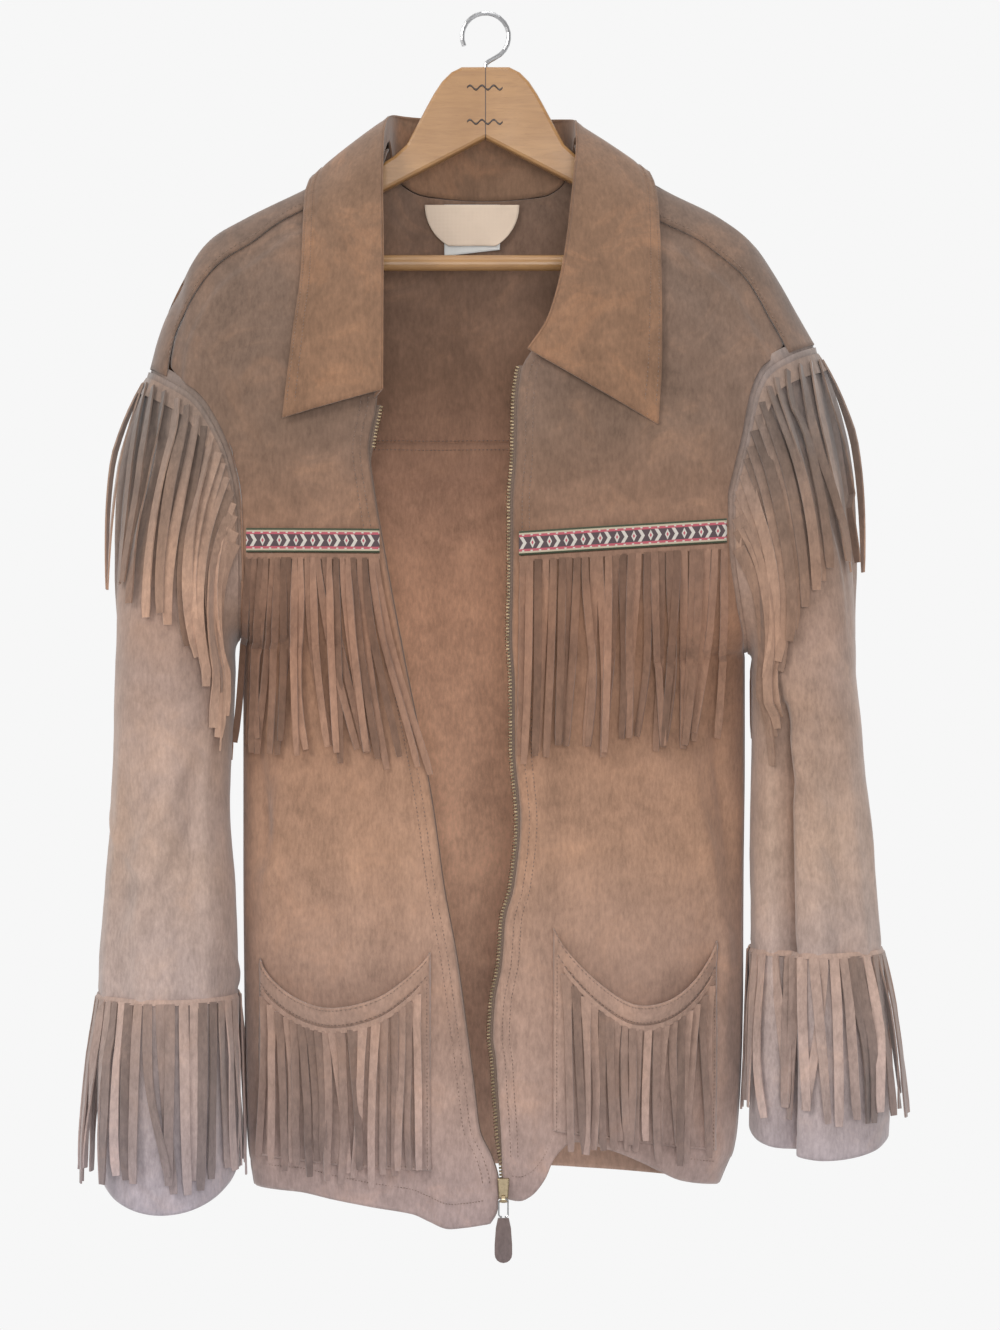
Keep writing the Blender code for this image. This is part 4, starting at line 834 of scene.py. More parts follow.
# thread dashes along at(t), which gives a point and its outward direction
def stitchRow(bm, at, length, share=(0.0, 1.0)):
    count = max(int(length * (share[1] - share[0]) / stitchLook["pitch"]), 2)
    for i in range(count):
        t0 = share[0] + (share[1] - share[0]) * i / count
        t1 = t0 + (share[1] - share[0]) / count * stitchLook["length"] / stitchLook["pitch"]
        start, out = at(t0)
        end, _ = at(t1)
        run = end - start
        if run.length < 0.2 * mm:
            continue
        across = run.cross(out).normalized() * stitchLook["width"] / 2
        rise = out.normalized() * stitchLook["height"]
        middle = (start + end) / 2
        ends = [bm.verts.new(start - rise * 0.3), bm.verts.new(end - rise * 0.3)]
        ring = [bm.verts.new(middle + across), bm.verts.new(middle + rise),
                bm.verts.new(middle - across), bm.verts.new(middle - rise * 0.8)]
        for k in range(4):
            bm.faces.new((ends[0], ring[k], ring[(k + 1) % 4]))
            bm.faces.new((ends[1], ring[(k + 1) % 4], ring[k]))


def stitchPiece(name, rows):
    bm = bmesh.new()
    for row in rows:
        stitchRow(bm, *row)
    bmesh.ops.recalc_face_normals(bm, faces=bm.faces)
    return onJacket(meshOf(name, bm, finish["thread"]))


# cloth of the body

fineness = 1.0


def cells(count):
    return max(int(count * fineness), 4)


fronts = {
    right: {"cells": (88, 260), "flat": (0.235, 0.80), "area": 0.118},
    left: {"cells": (88, 260), "flat": (0.25, 0.78), "area": 0.132},
    "zipRows": (6.7 * mm, 12 * mm), "hemRows": (18.5 * mm,), "sideSeamInset": 0.9 * mm,
    "armholeInset": 1.5 * mm, "zipRoll": 1.2 * mm, "hemRoll": 0.8 * mm, "rollReach": 3 * mm,
    "lapRise": 6 * mm, "lapDepth": 2.5 * mm,
}


def flankRows(side):
    return [(side * bodyWidth[side](height * mm) / mm, height) for height in (-850, -760, -640, -560)]


def frontField(side):
    inner = route(scaled(frontEdge[side]))
    bottom = route(scaled(frontHem[side]))
    top = route(scaled(shoulderSeam[side]))
    outer = route(scaled([frontHem[side][-1]] + flankRows(side) + armholeFront[side]))
    return patch(bottom, top, inner, outer), inner


def frontPanel(side):
    facts = fronts[side]
    field, inner = frontField(side)

    def at(u, v):
        x, z = field(u ** 0.92, v)
        fromZip = abs(x - inner(v)[0])
        fromHem = z - field(u, 0)[1]
        sew = sewn(fromZip, fronts["zipRows"], z, 0.45 * mm) + sewn(fromHem, fronts["hemRows"], x)
        roll = -fronts["zipRoll"] * (1 - rounded(fromZip, fronts["rollReach"]))
        roll -= fronts["hemRoll"] * (1 - rounded(fromHem, fronts["rollReach"]))
        lap = fronts["lapDepth"] * clamp((v - 0.975) / 0.008)
        rise = fronts["lapRise"] * clamp((v - 0.983) / 0.017)
        point = bodyPoint(x, z + rise, front, sew + roll - lap)
        edge = clamp((u - 0.97) / 0.03)
        if z < underarm[side]:
            point.y -= fronts["sideSeamInset"] * edge
        else:
            point.x -= side * fronts["armholeInset"] * edge
            point.z += fronts["armholeInset"] * edge
        return point

    across, up = facts["cells"]
    return clothPiece(named("front", side), [(cells(across), cells(up), at)], lambda p: Vector((0, -1, 0.3)),
                      finish["body"], replaces=nodeOf("front", side))


yokeLook = {"shoulder": 60, "neck": 50, "frontRows": 12, "backRows": 74, "seamStart": 0.07,
            "ridgeSpacing": 1.7, "seamDip": 0.5 * mm, "hemRows": (3 * mm, 11 * mm), "flat": (0.54, 0.30),
            "area": 0.112}


def ridgeLine(side):
    neckX, neckZ = neckSide[side]
    tipX, tipZ = shoulderTip[side]
    stations = [mix(abs(neckX), abs(tipX), share) for share in (0.2, 0.4, 0.6, 0.75, 0.85, 0.93)]
    points = [(side * x, ridge[side](x * mm) / mm) for x in stations]
    return route(scaled([(neckX, neckZ)] + points + [(tipX, tipZ)]))


def yoke():
    look = yokeLook
    shoulder, middle = cells(look["shoulder"]), cells(look["neck"])
    grids, ridges = [], {}
    for side in (right, left):
        ridges[side] = ridgeLine(side)
        seam = route(scaled(shoulderSeam[side]))

        def frontAt(u, v, side=side, seam=seam):
            up = mix(look["seamStart"], 1.0, 1 - (1 - v) ** look["ridgeSpacing"])
            x, z = mix(seam(u), ridges[side](u), up)
            point = bodyPoint(x, z, front, -look["seamDip"] * (1 - rounded(v, 0.15)))
            if v == 1.0:
                point.y = 0.0
            return point

        grids.append((shoulder, cells(look["frontRows"]), frontAt))
    neck = route(scaled(backNeck))
    ends = {side: armholeBack[side][3] for side in (right, left)}
    hem = route(scaled([ends[right], (0, -331), ends[left]]))
    sides = {side: route(scaled(armholeBack[side][3:] + [shoulderTip[side]])) for side in (right, left)}
    share = shoulder / (2 * shoulder + middle)

    def topAt(u):
        if u <= share + 1e-6:
            return ridges[right](1 - u / share)
        if u >= 1 - share - 1e-6:
            return ridges[left]((u - 1 + share) / share)
        return neck(0.5 - 0.5 * math.cos(math.pi * (u - share) / (1 - 2 * share)))

    field = patch(hem, topAt, sides[right], sides[left])

    def backAt(u, v):
        x, z = field(u, 1 - (1 - v) ** look["ridgeSpacing"])
        fromHem = z - field(u, 0)[1]
        point = bodyPoint(x, z, back, sewn(fromHem, look["hemRows"], x))
        if v == 1.0 and (u <= share + 1e-6 or u >= 1 - share - 1e-6):
            point.y = 0.0
        return point

    grids.append((2 * shoulder + middle, cells(look["backRows"]), backAt))
    return clothPiece("yokeCloth", grids, lambda p: Vector((0, p.y, 0.02)), finish["body"], weld=True,
                      replaces="yoke", inner=finish["inside"])


backLook = {"cells": (150, 190), "lapRise": 9 * mm, "lapDepth": 2.6 * mm, "flat": (0.43, 0.60), "area": 0.228}


def backPanel():
    hem = route(scaled(backHem))
    top = route(scaled([armholeBack[right][3], (0, -331), armholeBack[left][3]]))
    sides = {}
    for side in (right, left):
        low = backHem[0] if side == right else backHem[-1]
        sides[side] = route(scaled([low] + flankRows(side) + armholeBack[side][:4]))
    field = patch(hem, top, sides[right], sides[left])

    def at(u, v):
        x, z = field(u, v)
        side = left if x > 0 else right
        fromHem = z - field(u, 0)[1]
        point = bodyPoint(x, z, back, sewn(fromHem, fronts["hemRows"], x))
        edge = clamp((abs(2 * u - 1) - 0.97) / 0.03)
        if z < underarm[side]:
            point.y += fronts["sideSeamInset"] * edge
        lap = clamp((v - 0.965) / 0.035)
        point.z += backLook["lapRise"] * lap * lap
        point.y -= backLook["lapDepth"] * clamp((v - 0.95) / 0.02)
        return point

    across, up = backLook["cells"]
    return clothPiece("backCloth", [(cells(across), cells(up), at)], toBack, finish["body"],
                      replaces="back", inner=finish["inside"])


# sleeves

sleeveLook = {
    "ringTop": -500 * mm, "capShare": 0.32, "gap": 2.4 * mm, "cells": (132, 210), "hemRows": (17 * mm,),
    "cuffRows": (4 * mm,), "middle": 240 * mm, "capMiddle": 200 * mm, "backward": 14 * mm,
    "capRows": 0.36, "capPull": 0.36, "seamDrop": 6 * mm, "turnLength": 0.8 * mm,
    "flat": {right: (0.345, 0.66), left: (0.345, 0.62)}, "area": {right: 0.170, left: 0.161},
}
# creases of the sleeves: side, angle at the top and bottom, top and bottom height, width in degrees, height
sleeveCreases = [
    (right, 118, 60, -560, -640, 9, 2.6),
    (right, 130, 80, -600, -672, 9, -2.0),
    (right, 90, 40, -640, -720, 10, 1.8),
    (right, 70, 78, -650, -860, 8, 1.8),
    (right, 108, 100, -700, -880, 8, -1.8),
    (right, 135, 128, -520, -840, 8, 1.8),
    (right, 40, 30, -540, -760, 9, 1.6),
    (right, 200, 240, -540, -640, 9, 2.4),
    (right, 230, 300, -600, -690, 10, 2.0),
    (right, 280, 285, -560, -860, 9, 1.8),
    (right, 0, 350, -600, -840, 9, 1.6),
    (left, 150, 84, -505, -600, 9, 3.0),
    (left, 140, 70, -545, -650, 8, -2.2),
    (left, 110, 60, -600, -690, 9, 2.2),
    (left, 92, 96, -520, -860, 8, 2.2),
    (left, 76, 70, -620, -850, 8, -1.8),
    (left, 54, 44, -560, -840, 9, 2.0),
    (left, 160, 150, -640, -840, 9, 2.0),
    (left, 20, 14, -600, -840, 9, 1.8),
    (left, 210, 250, -540, -640, 9, 2.4),
    (left, 270, 300, -580, -700, 9, 2.0),
    (left, 300, 296, -560, -850, 9, 1.8),
    (left, 126, 128, -520, -900, 7, -10.0),
    (left, 112, 116, -540, -880, 7, 3.0),
    (left, 142, 140, -540, -880, 7, 2.4),
]


# the armhole's loop by angle: 0 at the shoulder tip, 90 down the front, 180 under the arm
def armhole(side):
    halves = {}
    for face, points in ((front, armholeFront[side]), (back, armholeBack[side])):
        flat = route(scaled([shoulderTip[side]] + points[::-1]))
        samples = []
        for i in range(33):
            share = i / 32
            x, z = flat(share)
            run = np.asarray(flat(min(share + 0.02, 1))) - np.asarray(flat(max(share - 0.02, 0)))
            run = run / np.linalg.norm(run)
            away = np.array((-run[1], run[0]))
            if away[0] * side < 0:
                away = -away
            y = 0.0 if i in (0, 32) else face * depth(x, z, face)
            gap = sleeveLook["gap"]
            samples.append((x + away[0] * gap, y, z + away[1] * gap, away[0], away[1]))
        samples = np.array(samples)
        run = np.concatenate([[0], np.cumsum(np.linalg.norm(np.diff(samples[:, :3], axis=0), axis=1))])
        halves[face] = Line(run / run[-1], samples)

    def at(angle):
        angle = angle % 360
        if angle <= 180:
            x, y, z, awayX, awayZ = halves[front](angle / 180)
        else:
            x, y, z, awayX, awayZ = halves[back]((360 - angle) / 180)
        return Vector((x, y, z)), Vector((awayX, 0, awayZ))

    return at


def sleeveSwell(side, angle, z, fine):
    total = 0.0
    for foldSide, middle, top, bottom, width, height in sleeveFolds:
        if foldSide == side:
            away = ((angle - middle + 180) % 360 - 180) / width
            reach = rounded(top * mm - z, 70 * mm) * rounded(z - bottom * mm, 70 * mm)
            total += height * mm * math.exp(-away * away) * reach
    if fine:
        for foldSide, first, last, top, bottom, width, height in sleeveCreases:
            if foldSide == side and bottom * mm - 0.03 < z < top * mm + 0.03:
                share = clamp((top * mm - z) / ((top - bottom) * mm))
                away = ((angle - mix(first, last, share) + 180) % 360 - 180) / width
                reach = clamp((top * mm + 0.02 - z) / 0.04) * clamp((z - bottom * mm + 0.02) / 0.04)
                total += height * mm * math.exp(-away * away) * reach
    return total


def sleeveRing(side, angle, z, fine=False):
    inner, outer, middleY, halfDepth = sleeveRings[side](z)
    turn = math.radians(angle)
    swell = sleeveSwell(side, angle, z, fine)
    x = side * ((inner + outer) / 2 + ((outer - inner) / 2 + swell) * math.cos(turn))
    return Vector((x, middleY - (halfDepth + swell) * math.sin(turn), z))


def sleeveShape(side, fine=False):
    loop = armhole(side)
    hemMiddle, hemDrop = sleeveHem[side]
    capShare, ringTop = sleeveLook["capShare"], sleeveLook["ringTop"]

    def plain(angle, share):
        if share > capShare:
            hem = hemMiddle - hemDrop * math.sin(math.radians(angle))
            return sleeveRing(side, angle, mix(ringTop, hem, (share - capShare) / (1 - capShare)), fine)
        start, away = loop(angle)
        end = sleeveRing(side, angle, ringTop, fine)
        reach = (end - start).length
        down = Vector((0, 0, -1))
        first = start + (away * 0.62 + down * 0.38) * reach * sleeveLook["capPull"]
        last = end - down * reach * sleeveLook["capPull"]
        t = share / capShare
        bend = start * (1 - t) ** 3 + first * 3 * t * (1 - t) ** 2
        return bend + last * 3 * t * t * (1 - t) + end * t ** 3

    def at(angle, share, lift=0.0):
        point = plain(angle, share)
        if fine:
            lift += softness(point) * clamp(share / 0.06)
        if lift == 0.0:
            return point
        middle = clamp(share, 0.011, 0.989)
        roundWay = plain(angle + 2, middle) - plain(angle - 2, middle)
        downWay = plain(angle, middle + 0.01) - plain(angle, middle - 0.01)
        return point + roundWay.cross(downWay).normalized() * side * lift

    return at


def sleeveOut(side):
    def outward(point):
        middle = sleeveLook["middle"] if point.z < bodyLook["yokeHem"] else sleeveLook["capMiddle"]
        return Vector((point.x - side * middle, point.y + sleeveLook["backward"], 0.0))
    return outward


def sleeve(side):
    shape = sleeveShape(side, fine=True)
    around, down = sleeveLook["cells"]
    hemMiddle, hemDrop = sleeveHem[side]
    capShare, capRows = sleeveLook["capShare"], sleeveLook["capRows"]

    def at(u, v):
        low = mix(capShare, 1.0, (v - capRows) / (1 - capRows))
        share = v * capShare / capRows if v < capRows else low
        angle = (u * 360) % 360
        hem = hemMiddle - hemDrop * math.sin(math.radians(angle))
        fromHem = (1 - share) / (1 - capShare) * (sleeveLook["ringTop"] - hem)
        sew = sewn(fromHem, sleeveLook["hemRows"], angle * sleeveLook["turnLength"])
        if share > capShare:
            z = hem + fromHem
            fromCuff = cuffSeam[side] + sleeveLook["seamDrop"] - z
            sew += sewn(fromCuff, sleeveLook["cuffRows"], angle * sleeveLook["turnLength"])
        return shape(angle, share, sew)

    return clothPiece(named("sleeve", side), [(cells(around), cells(down), at)], sleeveOut(side),
                      finish["sleeve"], weld=True, replaces=nodeOf("sleeve", side))


# collar: stand and fall in one, rolled at the neck

collarLook = {"cells": (190, 56), "neckLift": 2.8 * mm, "edgeLift": 5.5 * mm, "ridgeLift": 2.4 * mm,
              "edgeRows": (2.5 * mm, 10 * mm), "flat": (0.66, 0.13), "area": 0.068}


def collarLine():
    sections = []
    for neckX, neckZ, rollX, rollY, rollZ, edgeX, edgeZ, face in collarRows:
        roll = Vector((rollX, rollY, rollZ)) * mm
        if face == ridgeRow:
            lift = collarLook["ridgeLift"]
            neck = Vector((neckX * mm, 0, neckZ * mm + collarLook["neckLift"] + lift))
            edge = Vector((edgeX * mm, 0, edgeZ * mm + collarLook["edgeLift"] + lift))
        else:
            neck = bodyPoint(neckX * mm, neckZ * mm, face, collarLook["neckLift"], soft=0.0)
            edge = bodyPoint(edgeX * mm, edgeZ * mm, face, collarLook["edgeLift"], soft=0.0)
        sections.append([*neck, *roll, *edge])
    return route(sections)


def collarShape():
    along = collarLine()
    ends = [Vector(along(0)[6:9]) - Vector(along(0)[3:6]), Vector(along(1)[6:9]) - Vector(along(1)[3:6])]

    def plain(u, v):
        values = along(u)
        neck, roll, edge = Vector(values[0:3]), Vector(values[3:6]), Vector(values[6:9])
        if v < 0.25:
            return mix(neck, roll, v / 0.25 * 0.93)
        if v < 0.45:
            t = (v - 0.25) / 0.2
            top = roll + (roll - mix(neck, edge, 0.5)).normalized() * 1.5 * mm
            return mix(neck, roll, 0.93) * (1 - t) ** 2 + top * 2 * t * (1 - t) + mix(roll, edge, 0.1) * t * t
        return mix(mix(roll, edge, 0.1), edge, (v - 0.45) / 0.55)

    def at(u, v, lift=0.0):
        point = plain(u, v)
        values = along(u)
        fall = (Vector(values[6:9]) - Vector(values[3:6])).length
        fromEdge = (1 - v) / 0.55 * 0.9 * fall if v > 0.45 else 1.0
        fromEnd = min(u, 1 - u) * 0.78
        uWay = plain(min(u + 0.004, 1), v) - plain(max(u - 0.004, 0), v)
        vWay = plain(u, min(v + 0.02, 1)) - plain(u, max(v - 0.02, 0))
        normal = uWay.cross(vWay).normalized()
        if v > 0.45:
            rows = collarLook["edgeRows"]
            lift += sewn(fromEdge, rows, u * 0.8) + sewn(fromEnd, rows, v * 0.1)
            lift += math.sin(math.pi * clamp((v - 0.45) / 0.55)) * 1.2 * mm + softness(point) * 0.9
        return point + normal * lift * collarSign

    return at


collarSign = 1


def collar():
    shape = collarShape()
    across, up = collarLook["cells"]
    bm = bmesh.new()
    layer = bm.loops.layers.uv.new("flat")
    gridInto(bm, cells(across), cells(up), shape, layer)
    bmesh.ops.recalc_face_normals(bm, faces=bm.faces)
    bm.normal_update()
    lean = 0.0
    for face in bm.faces:
        middle = face.calc_center_median()
        if abs(middle.x) > 110 * mm and middle.z < -180 * mm:
            lean += face.normal.dot(Vector((0, -1, 0)))
    if lean < 0:
        bmesh.ops.reverse_faces(bm, faces=bm.faces)
    return walled("collarCloth", bm, finish["collar"], wall, "collar")


cloth = {"yoke": yoke(), "back": backPanel(), "collar": collar()}
for side in (right, left):
    cloth["front", side] = frontPanel(side)
    cloth["sleeve", side] = sleeve(side)
print("cloth is cut and hung")


# pockets

pocketLook = {"cells": (64, 70), "gape": 22 * mm, "band": 15 * mm, "lift": 1.2 * mm + wall,
              "rows": (1.8 * mm, 13 * mm), "sideRows": (2.2 * mm,), "bandWall": 0.9 * mm,
              "flat": {right: (0.135, 0.157), left: (0.128, 0.157)}, "area": 0.0172}


def pocketShape(side):
    size = pockets[side]

    def topOf(u):
        sag = size["sag"] * mm * math.sin(math.pi * u) ** 0.8
        return mix(size["innerTop"], size["outerTop"], u) * mm - sag

    def lowOf(u):
        return mix(size["innerBottom"], size["outerBottom"], u) * mm

    def at(u, v, lift=0.0):
        x = mix(size["inner"], size["outer"], u) * mm
        z = mix(lowOf(u), topOf(u), v)
        gape = pocketLook["gape"] * (math.sin(math.pi * clamp(u)) ** 0.9) * max(v, 0.0) ** 2.2
        return bodyPoint(x, z, front, pocketLook["lift"] + gape + lift, soft=0.8)

    return at, topOf, lowOf


def pocket(side):
    shape, topOf, lowOf = pocketShape(side)
    size = pockets[side]
    width = abs(size["outer"] - size["inner"]) * mm

    def at(u, v):
        fromTop = (1 - v) * (topOf(u) - lowOf(u))
        fromSide = min(u, 1 - u) * width
        sew = sewn(fromTop, pocketLook["rows"], u * width)
        sew += sewn(fromSide, pocketLook["sideRows"], v * 0.15, 0.4 * mm)
        band = pocketLook["bandWall"] * clamp((pocketLook["band"] - fromTop) / (1.5 * mm))
        edge = -1.0 * mm * (1 - rounded(fromSide, 2 * mm)) - 0.6 * mm * (1 - rounded(fromTop, 1.6 * mm))
        return shape(u, v, sew + band + edge)

    across, up = pocketLook["cells"]
    return clothPiece(named("pocket", side), [(cells(across), cells(up), at)], toFront, finish["body"],
                      replaces=nodeOf("pocket", side))


for side in (right, left):
    cloth["pocket", side] = pocket(side)
print("pockets are on")


# fringe: one sheet cut into strands, each hanging on its own line

fringeLook = {"thickness": 1.3 * mm, "steps": 15 if fineness == 1.0 else 8, "strip": 4 * mm}


# one strand with square edges through points, turned by outs
def ribbon(bm, layer, points, outs, widths, toneAndLight, thickness):
    rings = []
    last = len(points) - 1
    for i, point in enumerate(points):
        run = (points[min(i + 1, last)] - points[max(i - 1, 0)]).normalized()
        out = outs[i] - run * outs[i].dot(run)
        out.normalize()
        across = run.cross(out) * widths[i] / 2
        rise = out * thickness
        ring = [point - across, point + across, point + across - rise, point - across - rise]
        rings.append([bm.verts.new(corner) for corner in ring])
    faces = [bm.faces.new(rings[0][::-1]), bm.faces.new(rings[-1])]
    for i in range(last):
        for k in range(4):
            a, b = rings[i], rings[i + 1]
            faces.append(bm.faces.new((a[k], a[(k + 1) % 4], b[(k + 1) % 4], b[k])))
    for face in faces:
        for loop in face.loops:
            loop[layer].uv = (toneAndLight, 0.5)


# strip(u, low) is the uncut edge; hang(u, q, own) a strand's middle line and its outward direction
def fringe(name, node, strip, hang, outward, colour, look):
    count = look["count"]
    bm = bmesh.new()
    layer = bm.loops.layers.uv.new("flat")
    gridInto(bm, cells(count * 3), 2, lambda u, v: strip(u, 1 - v), layer)
    turnOut(bm, outward)
    bmesh.ops.solidify(bm, geom=bm.faces[:], thickness=fringeLook["thickness"])
    for face in bm.faces:
        for loop in face.loops:
            loop[layer].uv = (0.75, 0.5)
    steps = fringeLook["steps"]
    luck = random.Random(name)
    for i in range(count):
        middle = (i + 0.5 + luck.uniform(-0.12, 0.12)) / count
        half = 0.5 / count * look["share"] * luck.uniform(0.86, 1.08)
        own = {
            "drift": luck.gauss(0, look["drift"]), "sway": luck.gauss(0, look["sway"]),
            "phase": luck.uniform(0, 6.28), "waves": luck.uniform(0.6, 1.6),
            "level": (i % 3) + luck.uniform(-0.3, 0.3),
            "fall": luck.uniform(-1, 1) * look["uneven"], "turn": luck.gauss(0, look["turn"]),
        }
        points, outs, widths = [], [], []
        for k in range(steps + 1):
            q = k / steps
            point, out, across = hang(middle, q, own)
            width = (strip(min(middle + half, 1), 1.0) - strip(max(middle - half, 0), 1.0)).length
            width = mix(width, look["width"], clamp(q * 5)) * (1 - 0.12 * q)
            twist = own["turn"] * math.sin(q * 2.6 + own["phase"] * 0.4) * clamp(q * 3)
            outs.append(out + across * twist)
            points.append(point)
            widths.append(width if k < steps else width * 0.8)
        # the random value sets the strand's brightness, partly painted light and shade
        ribbon(bm, layer, points, outs, widths, luck.random(), fringeLook["thickness"])
    thing = onJacket(meshOf(name, bm, colour, smooth=False))
    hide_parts(node)
    return thing


# how far a strand leans along the row
def ownSway(own, q, reach=1.0):
    wave = math.sin(q * 3.1 * own["waves"] + own["phase"]) - math.sin(own["phase"])
    return (own["drift"] * q ** 1.2 + own["sway"] * wave * q ** 0.7) * reach


# how far a strand stands off, so that layers cross without touching
def ownLift(own, q, step=2.1 * mm):
    return own["level"] * step * clamp(q * 3)


braids = {
    right: {"inner": (-78, -393), "outer": (-177, -392)},
    left: {"inner": (25, -395), "outer": (179, -385)},
    "width": 17.8, "lift": 2.2 * mm, "stripGap": 0.8 * mm,
}
chestLook = {
    right: {"count": 23, "tips": (-46, -184), "drop": (158, 142), "width": 5.6 * mm, "drift": 9 * mm,
            "sway": 3 * mm, "uneven": 7 * mm, "turn": 0.55, "share": 0.9},
    left: {"count": 27, "tips": (22, 169), "drop": (148, 145), "width": 6.0 * mm, "drift": 5.5 * mm,
           "sway": 2.4 * mm, "uneven": 7 * mm, "turn": 0.5, "share": 0.9},
    "lift": 2.7 * mm,
}


def braid(side):
    facts = braids[side]
    inner, outer = facts["inner"], facts["outer"]

    def at(u, v):
        x = mix(inner[0], outer[0], u) * mm
        z = (mix(inner[1], outer[1], u) - (1 - v) * braids["width"]) * mm
        return bodyPoint(x, z, front, braids["lift"] + 0.15 * mm * math.sin(v * math.pi))

    return clothPiece(named("braid", side), [(cells(72), cells(12), at)], toFront, finish["braid"],
                      thickness=1 * mm, replaces=nodeOf("braid", side))


def chestFringe(side):
    look = chestLook[side]
    inner, outer = braids[side]["inner"], braids[side]["outer"]

    def root(u):
        x = mix(inner[0], outer[0], u) * mm
        return x, (mix(inner[1], outer[1], u) - braids["width"]) * mm - braids["stripGap"]

    def strip(u, low):
        x, z = root(u)
        return bodyPoint(x, z - low * fringeLook["strip"], front, chestLook["lift"])

    def hang(u, q, own):
        x, z = root(u)
        tip = mix(look["tips"][0], look["tips"][1], u) * mm
        fall = mix(look["drop"][0], look["drop"][1], u) * mm + own["fall"]
        low = z - fringeLook["strip"] * 0.7 - q * (fall - fringeLook["strip"])
        over = mix(x, tip, q ** 1.3) + ownSway(own, q, 0.3 + 0.7 * math.sin(math.pi * u))
        point = bodyPoint(over, low, front, chestLook["lift"] + q * 3 * mm + ownLift(own, q), 0.4)
        return point, Vector((0, -1, 0)), Vector((1, 0, 0))

    return fringe(named("chestFringe", side), nodeOf("chest_fringe", side), strip, hang, toFront,
                  finish["strands"], look)


backFringeLook = {"count": 34, "width": 8.5 * mm, "drift": 4 * mm, "sway": 2 * mm, "uneven": 6 * mm,
                  "turn": 0.35, "share": 0.9, "length": 150 * mm, "drop": 4 * mm, "lift": 2.7 * mm,
                  "narrowing": 0.09}


def backFringe():
    look = backFringeLook
    ends = (armholeBack[right][3][0] + 12, armholeBack[left][3][0] - 12)
    hem = bodyLook["yokeHem"] - look["drop"]

    def strip(u, low):
        return bodyPoint(mix(ends[0], ends[1], u) * mm, hem - low * fringeLook["strip"], back, look["lift"])

    def hang(u, q, own):
        x = mix(ends[0], ends[1], u) * mm
        z = hem - fringeLook["strip"] * 0.7 - q * (look["length"] + own["fall"] - fringeLook["strip"])
        over = x * (1 - look["narrowing"] * q) + ownSway(own, q)
        point = bodyPoint(over, z, back, look["lift"] + q * 4 * mm + ownLift(own, q), 0.4)
        return point, Vector((0, 1, 0)), Vector((1, 0, 0))

    return fringe("backFringe", "back_fringe", strip, hang, toBack, finish["strands"], look)


armholeLook = {
    "count": 34, "width": 8.6 * mm, "drift": 3.5, "sway": 1.6, "uneven": 9 * mm, "turn": 0.45, "share": 0.92,
    "length": 156 * mm, "root": 2.4 * mm, "lift": 3 * mm, "start": 0.006, "strip": 0.018, "end": 119,
}
hangingAngles = Line([0, 20, 40, 60, 90, 120], [0, 56, 98, 120, 134, 144])


def hangingAngle(angle):
    return float(hangingAngles(angle)) if angle <= 180 else 360 - float(hangingAngles(360 - angle))


def armholeFringe(side):
    look = armholeLook
    shape = sleeveShape(side)
    capShare = sleeveLook["capShare"]
    walks = {}

    # shares down the sleeve and the height there, for a strand rooted at angle
    def walk(angle, drift):
        key = (round(angle, 4), drift)
        if key not in walks:
            rows = []
            for k in range(50):
                share = mix(look["strip"] * 0.7, 0.86, k / 49)
                turned = mix(angle, hangingAngle(angle), min(share / capShare, 1.0) ** 0.8)
                turned += drift * share / capShare
                rows.append((share, turned, shape(turned, share).z))
            walks[key] = rows
        return walks[key]

    def strip(u, low):
        angle = mix(look["end"], -look["end"], u)
        return shape(angle % 360, look["start"] + low * look["strip"], mix(0.5 * mm, look["root"], low))

    def hang(u, q, own):
        angle = mix(look["end"], -look["end"], u) % 360
        rows = walk(angle, own["drift"] * 1.2)
        wanted = rows[0][2] - (look["length"] + own["fall"]) * q
        share, turned = rows[-1][:2]
        for (share0, turned0, z0), (share1, turned1, z1) in zip(rows, rows[1:]):
            if z1 <= wanted:
                t = clamp((z0 - wanted) / max(z0 - z1, 1e-6))
                share, turned = mix(share0, share1, t), mix(turned0, turned1, t)
                break
        turned += own["sway"] * (math.sin(q * 3.1 * own["waves"] + own["phase"]) - math.sin(own["phase"])) * q
        lift = look["root"] + look["lift"] * clamp(q * 2.5) + ownLift(own, q, 1.6 * mm)
        point = shape(turned, share, lift)
        radians = math.radians(turned)
        out = Vector((side * math.cos(radians), -math.sin(radians), 0.15 if q < 0.3 else 0.0))
        return point, out, Vector((side * math.sin(radians), math.cos(radians), 0))

    return fringe(named("armholeFringe", side), nodeOf("armhole_fringe", side), strip, hang, sleeveOut(side),
                  finish["armStrands"], look)


cuffLook = {
    "count": 40, "width": 7.6 * mm, "drift": 5 * mm, "sway": 2 * mm, "uneven": 8 * mm, "turn": 0.55,
    "share": 0.86, "lift": 2.8 * mm, "flare": 9 * mm, "end": 172,
}


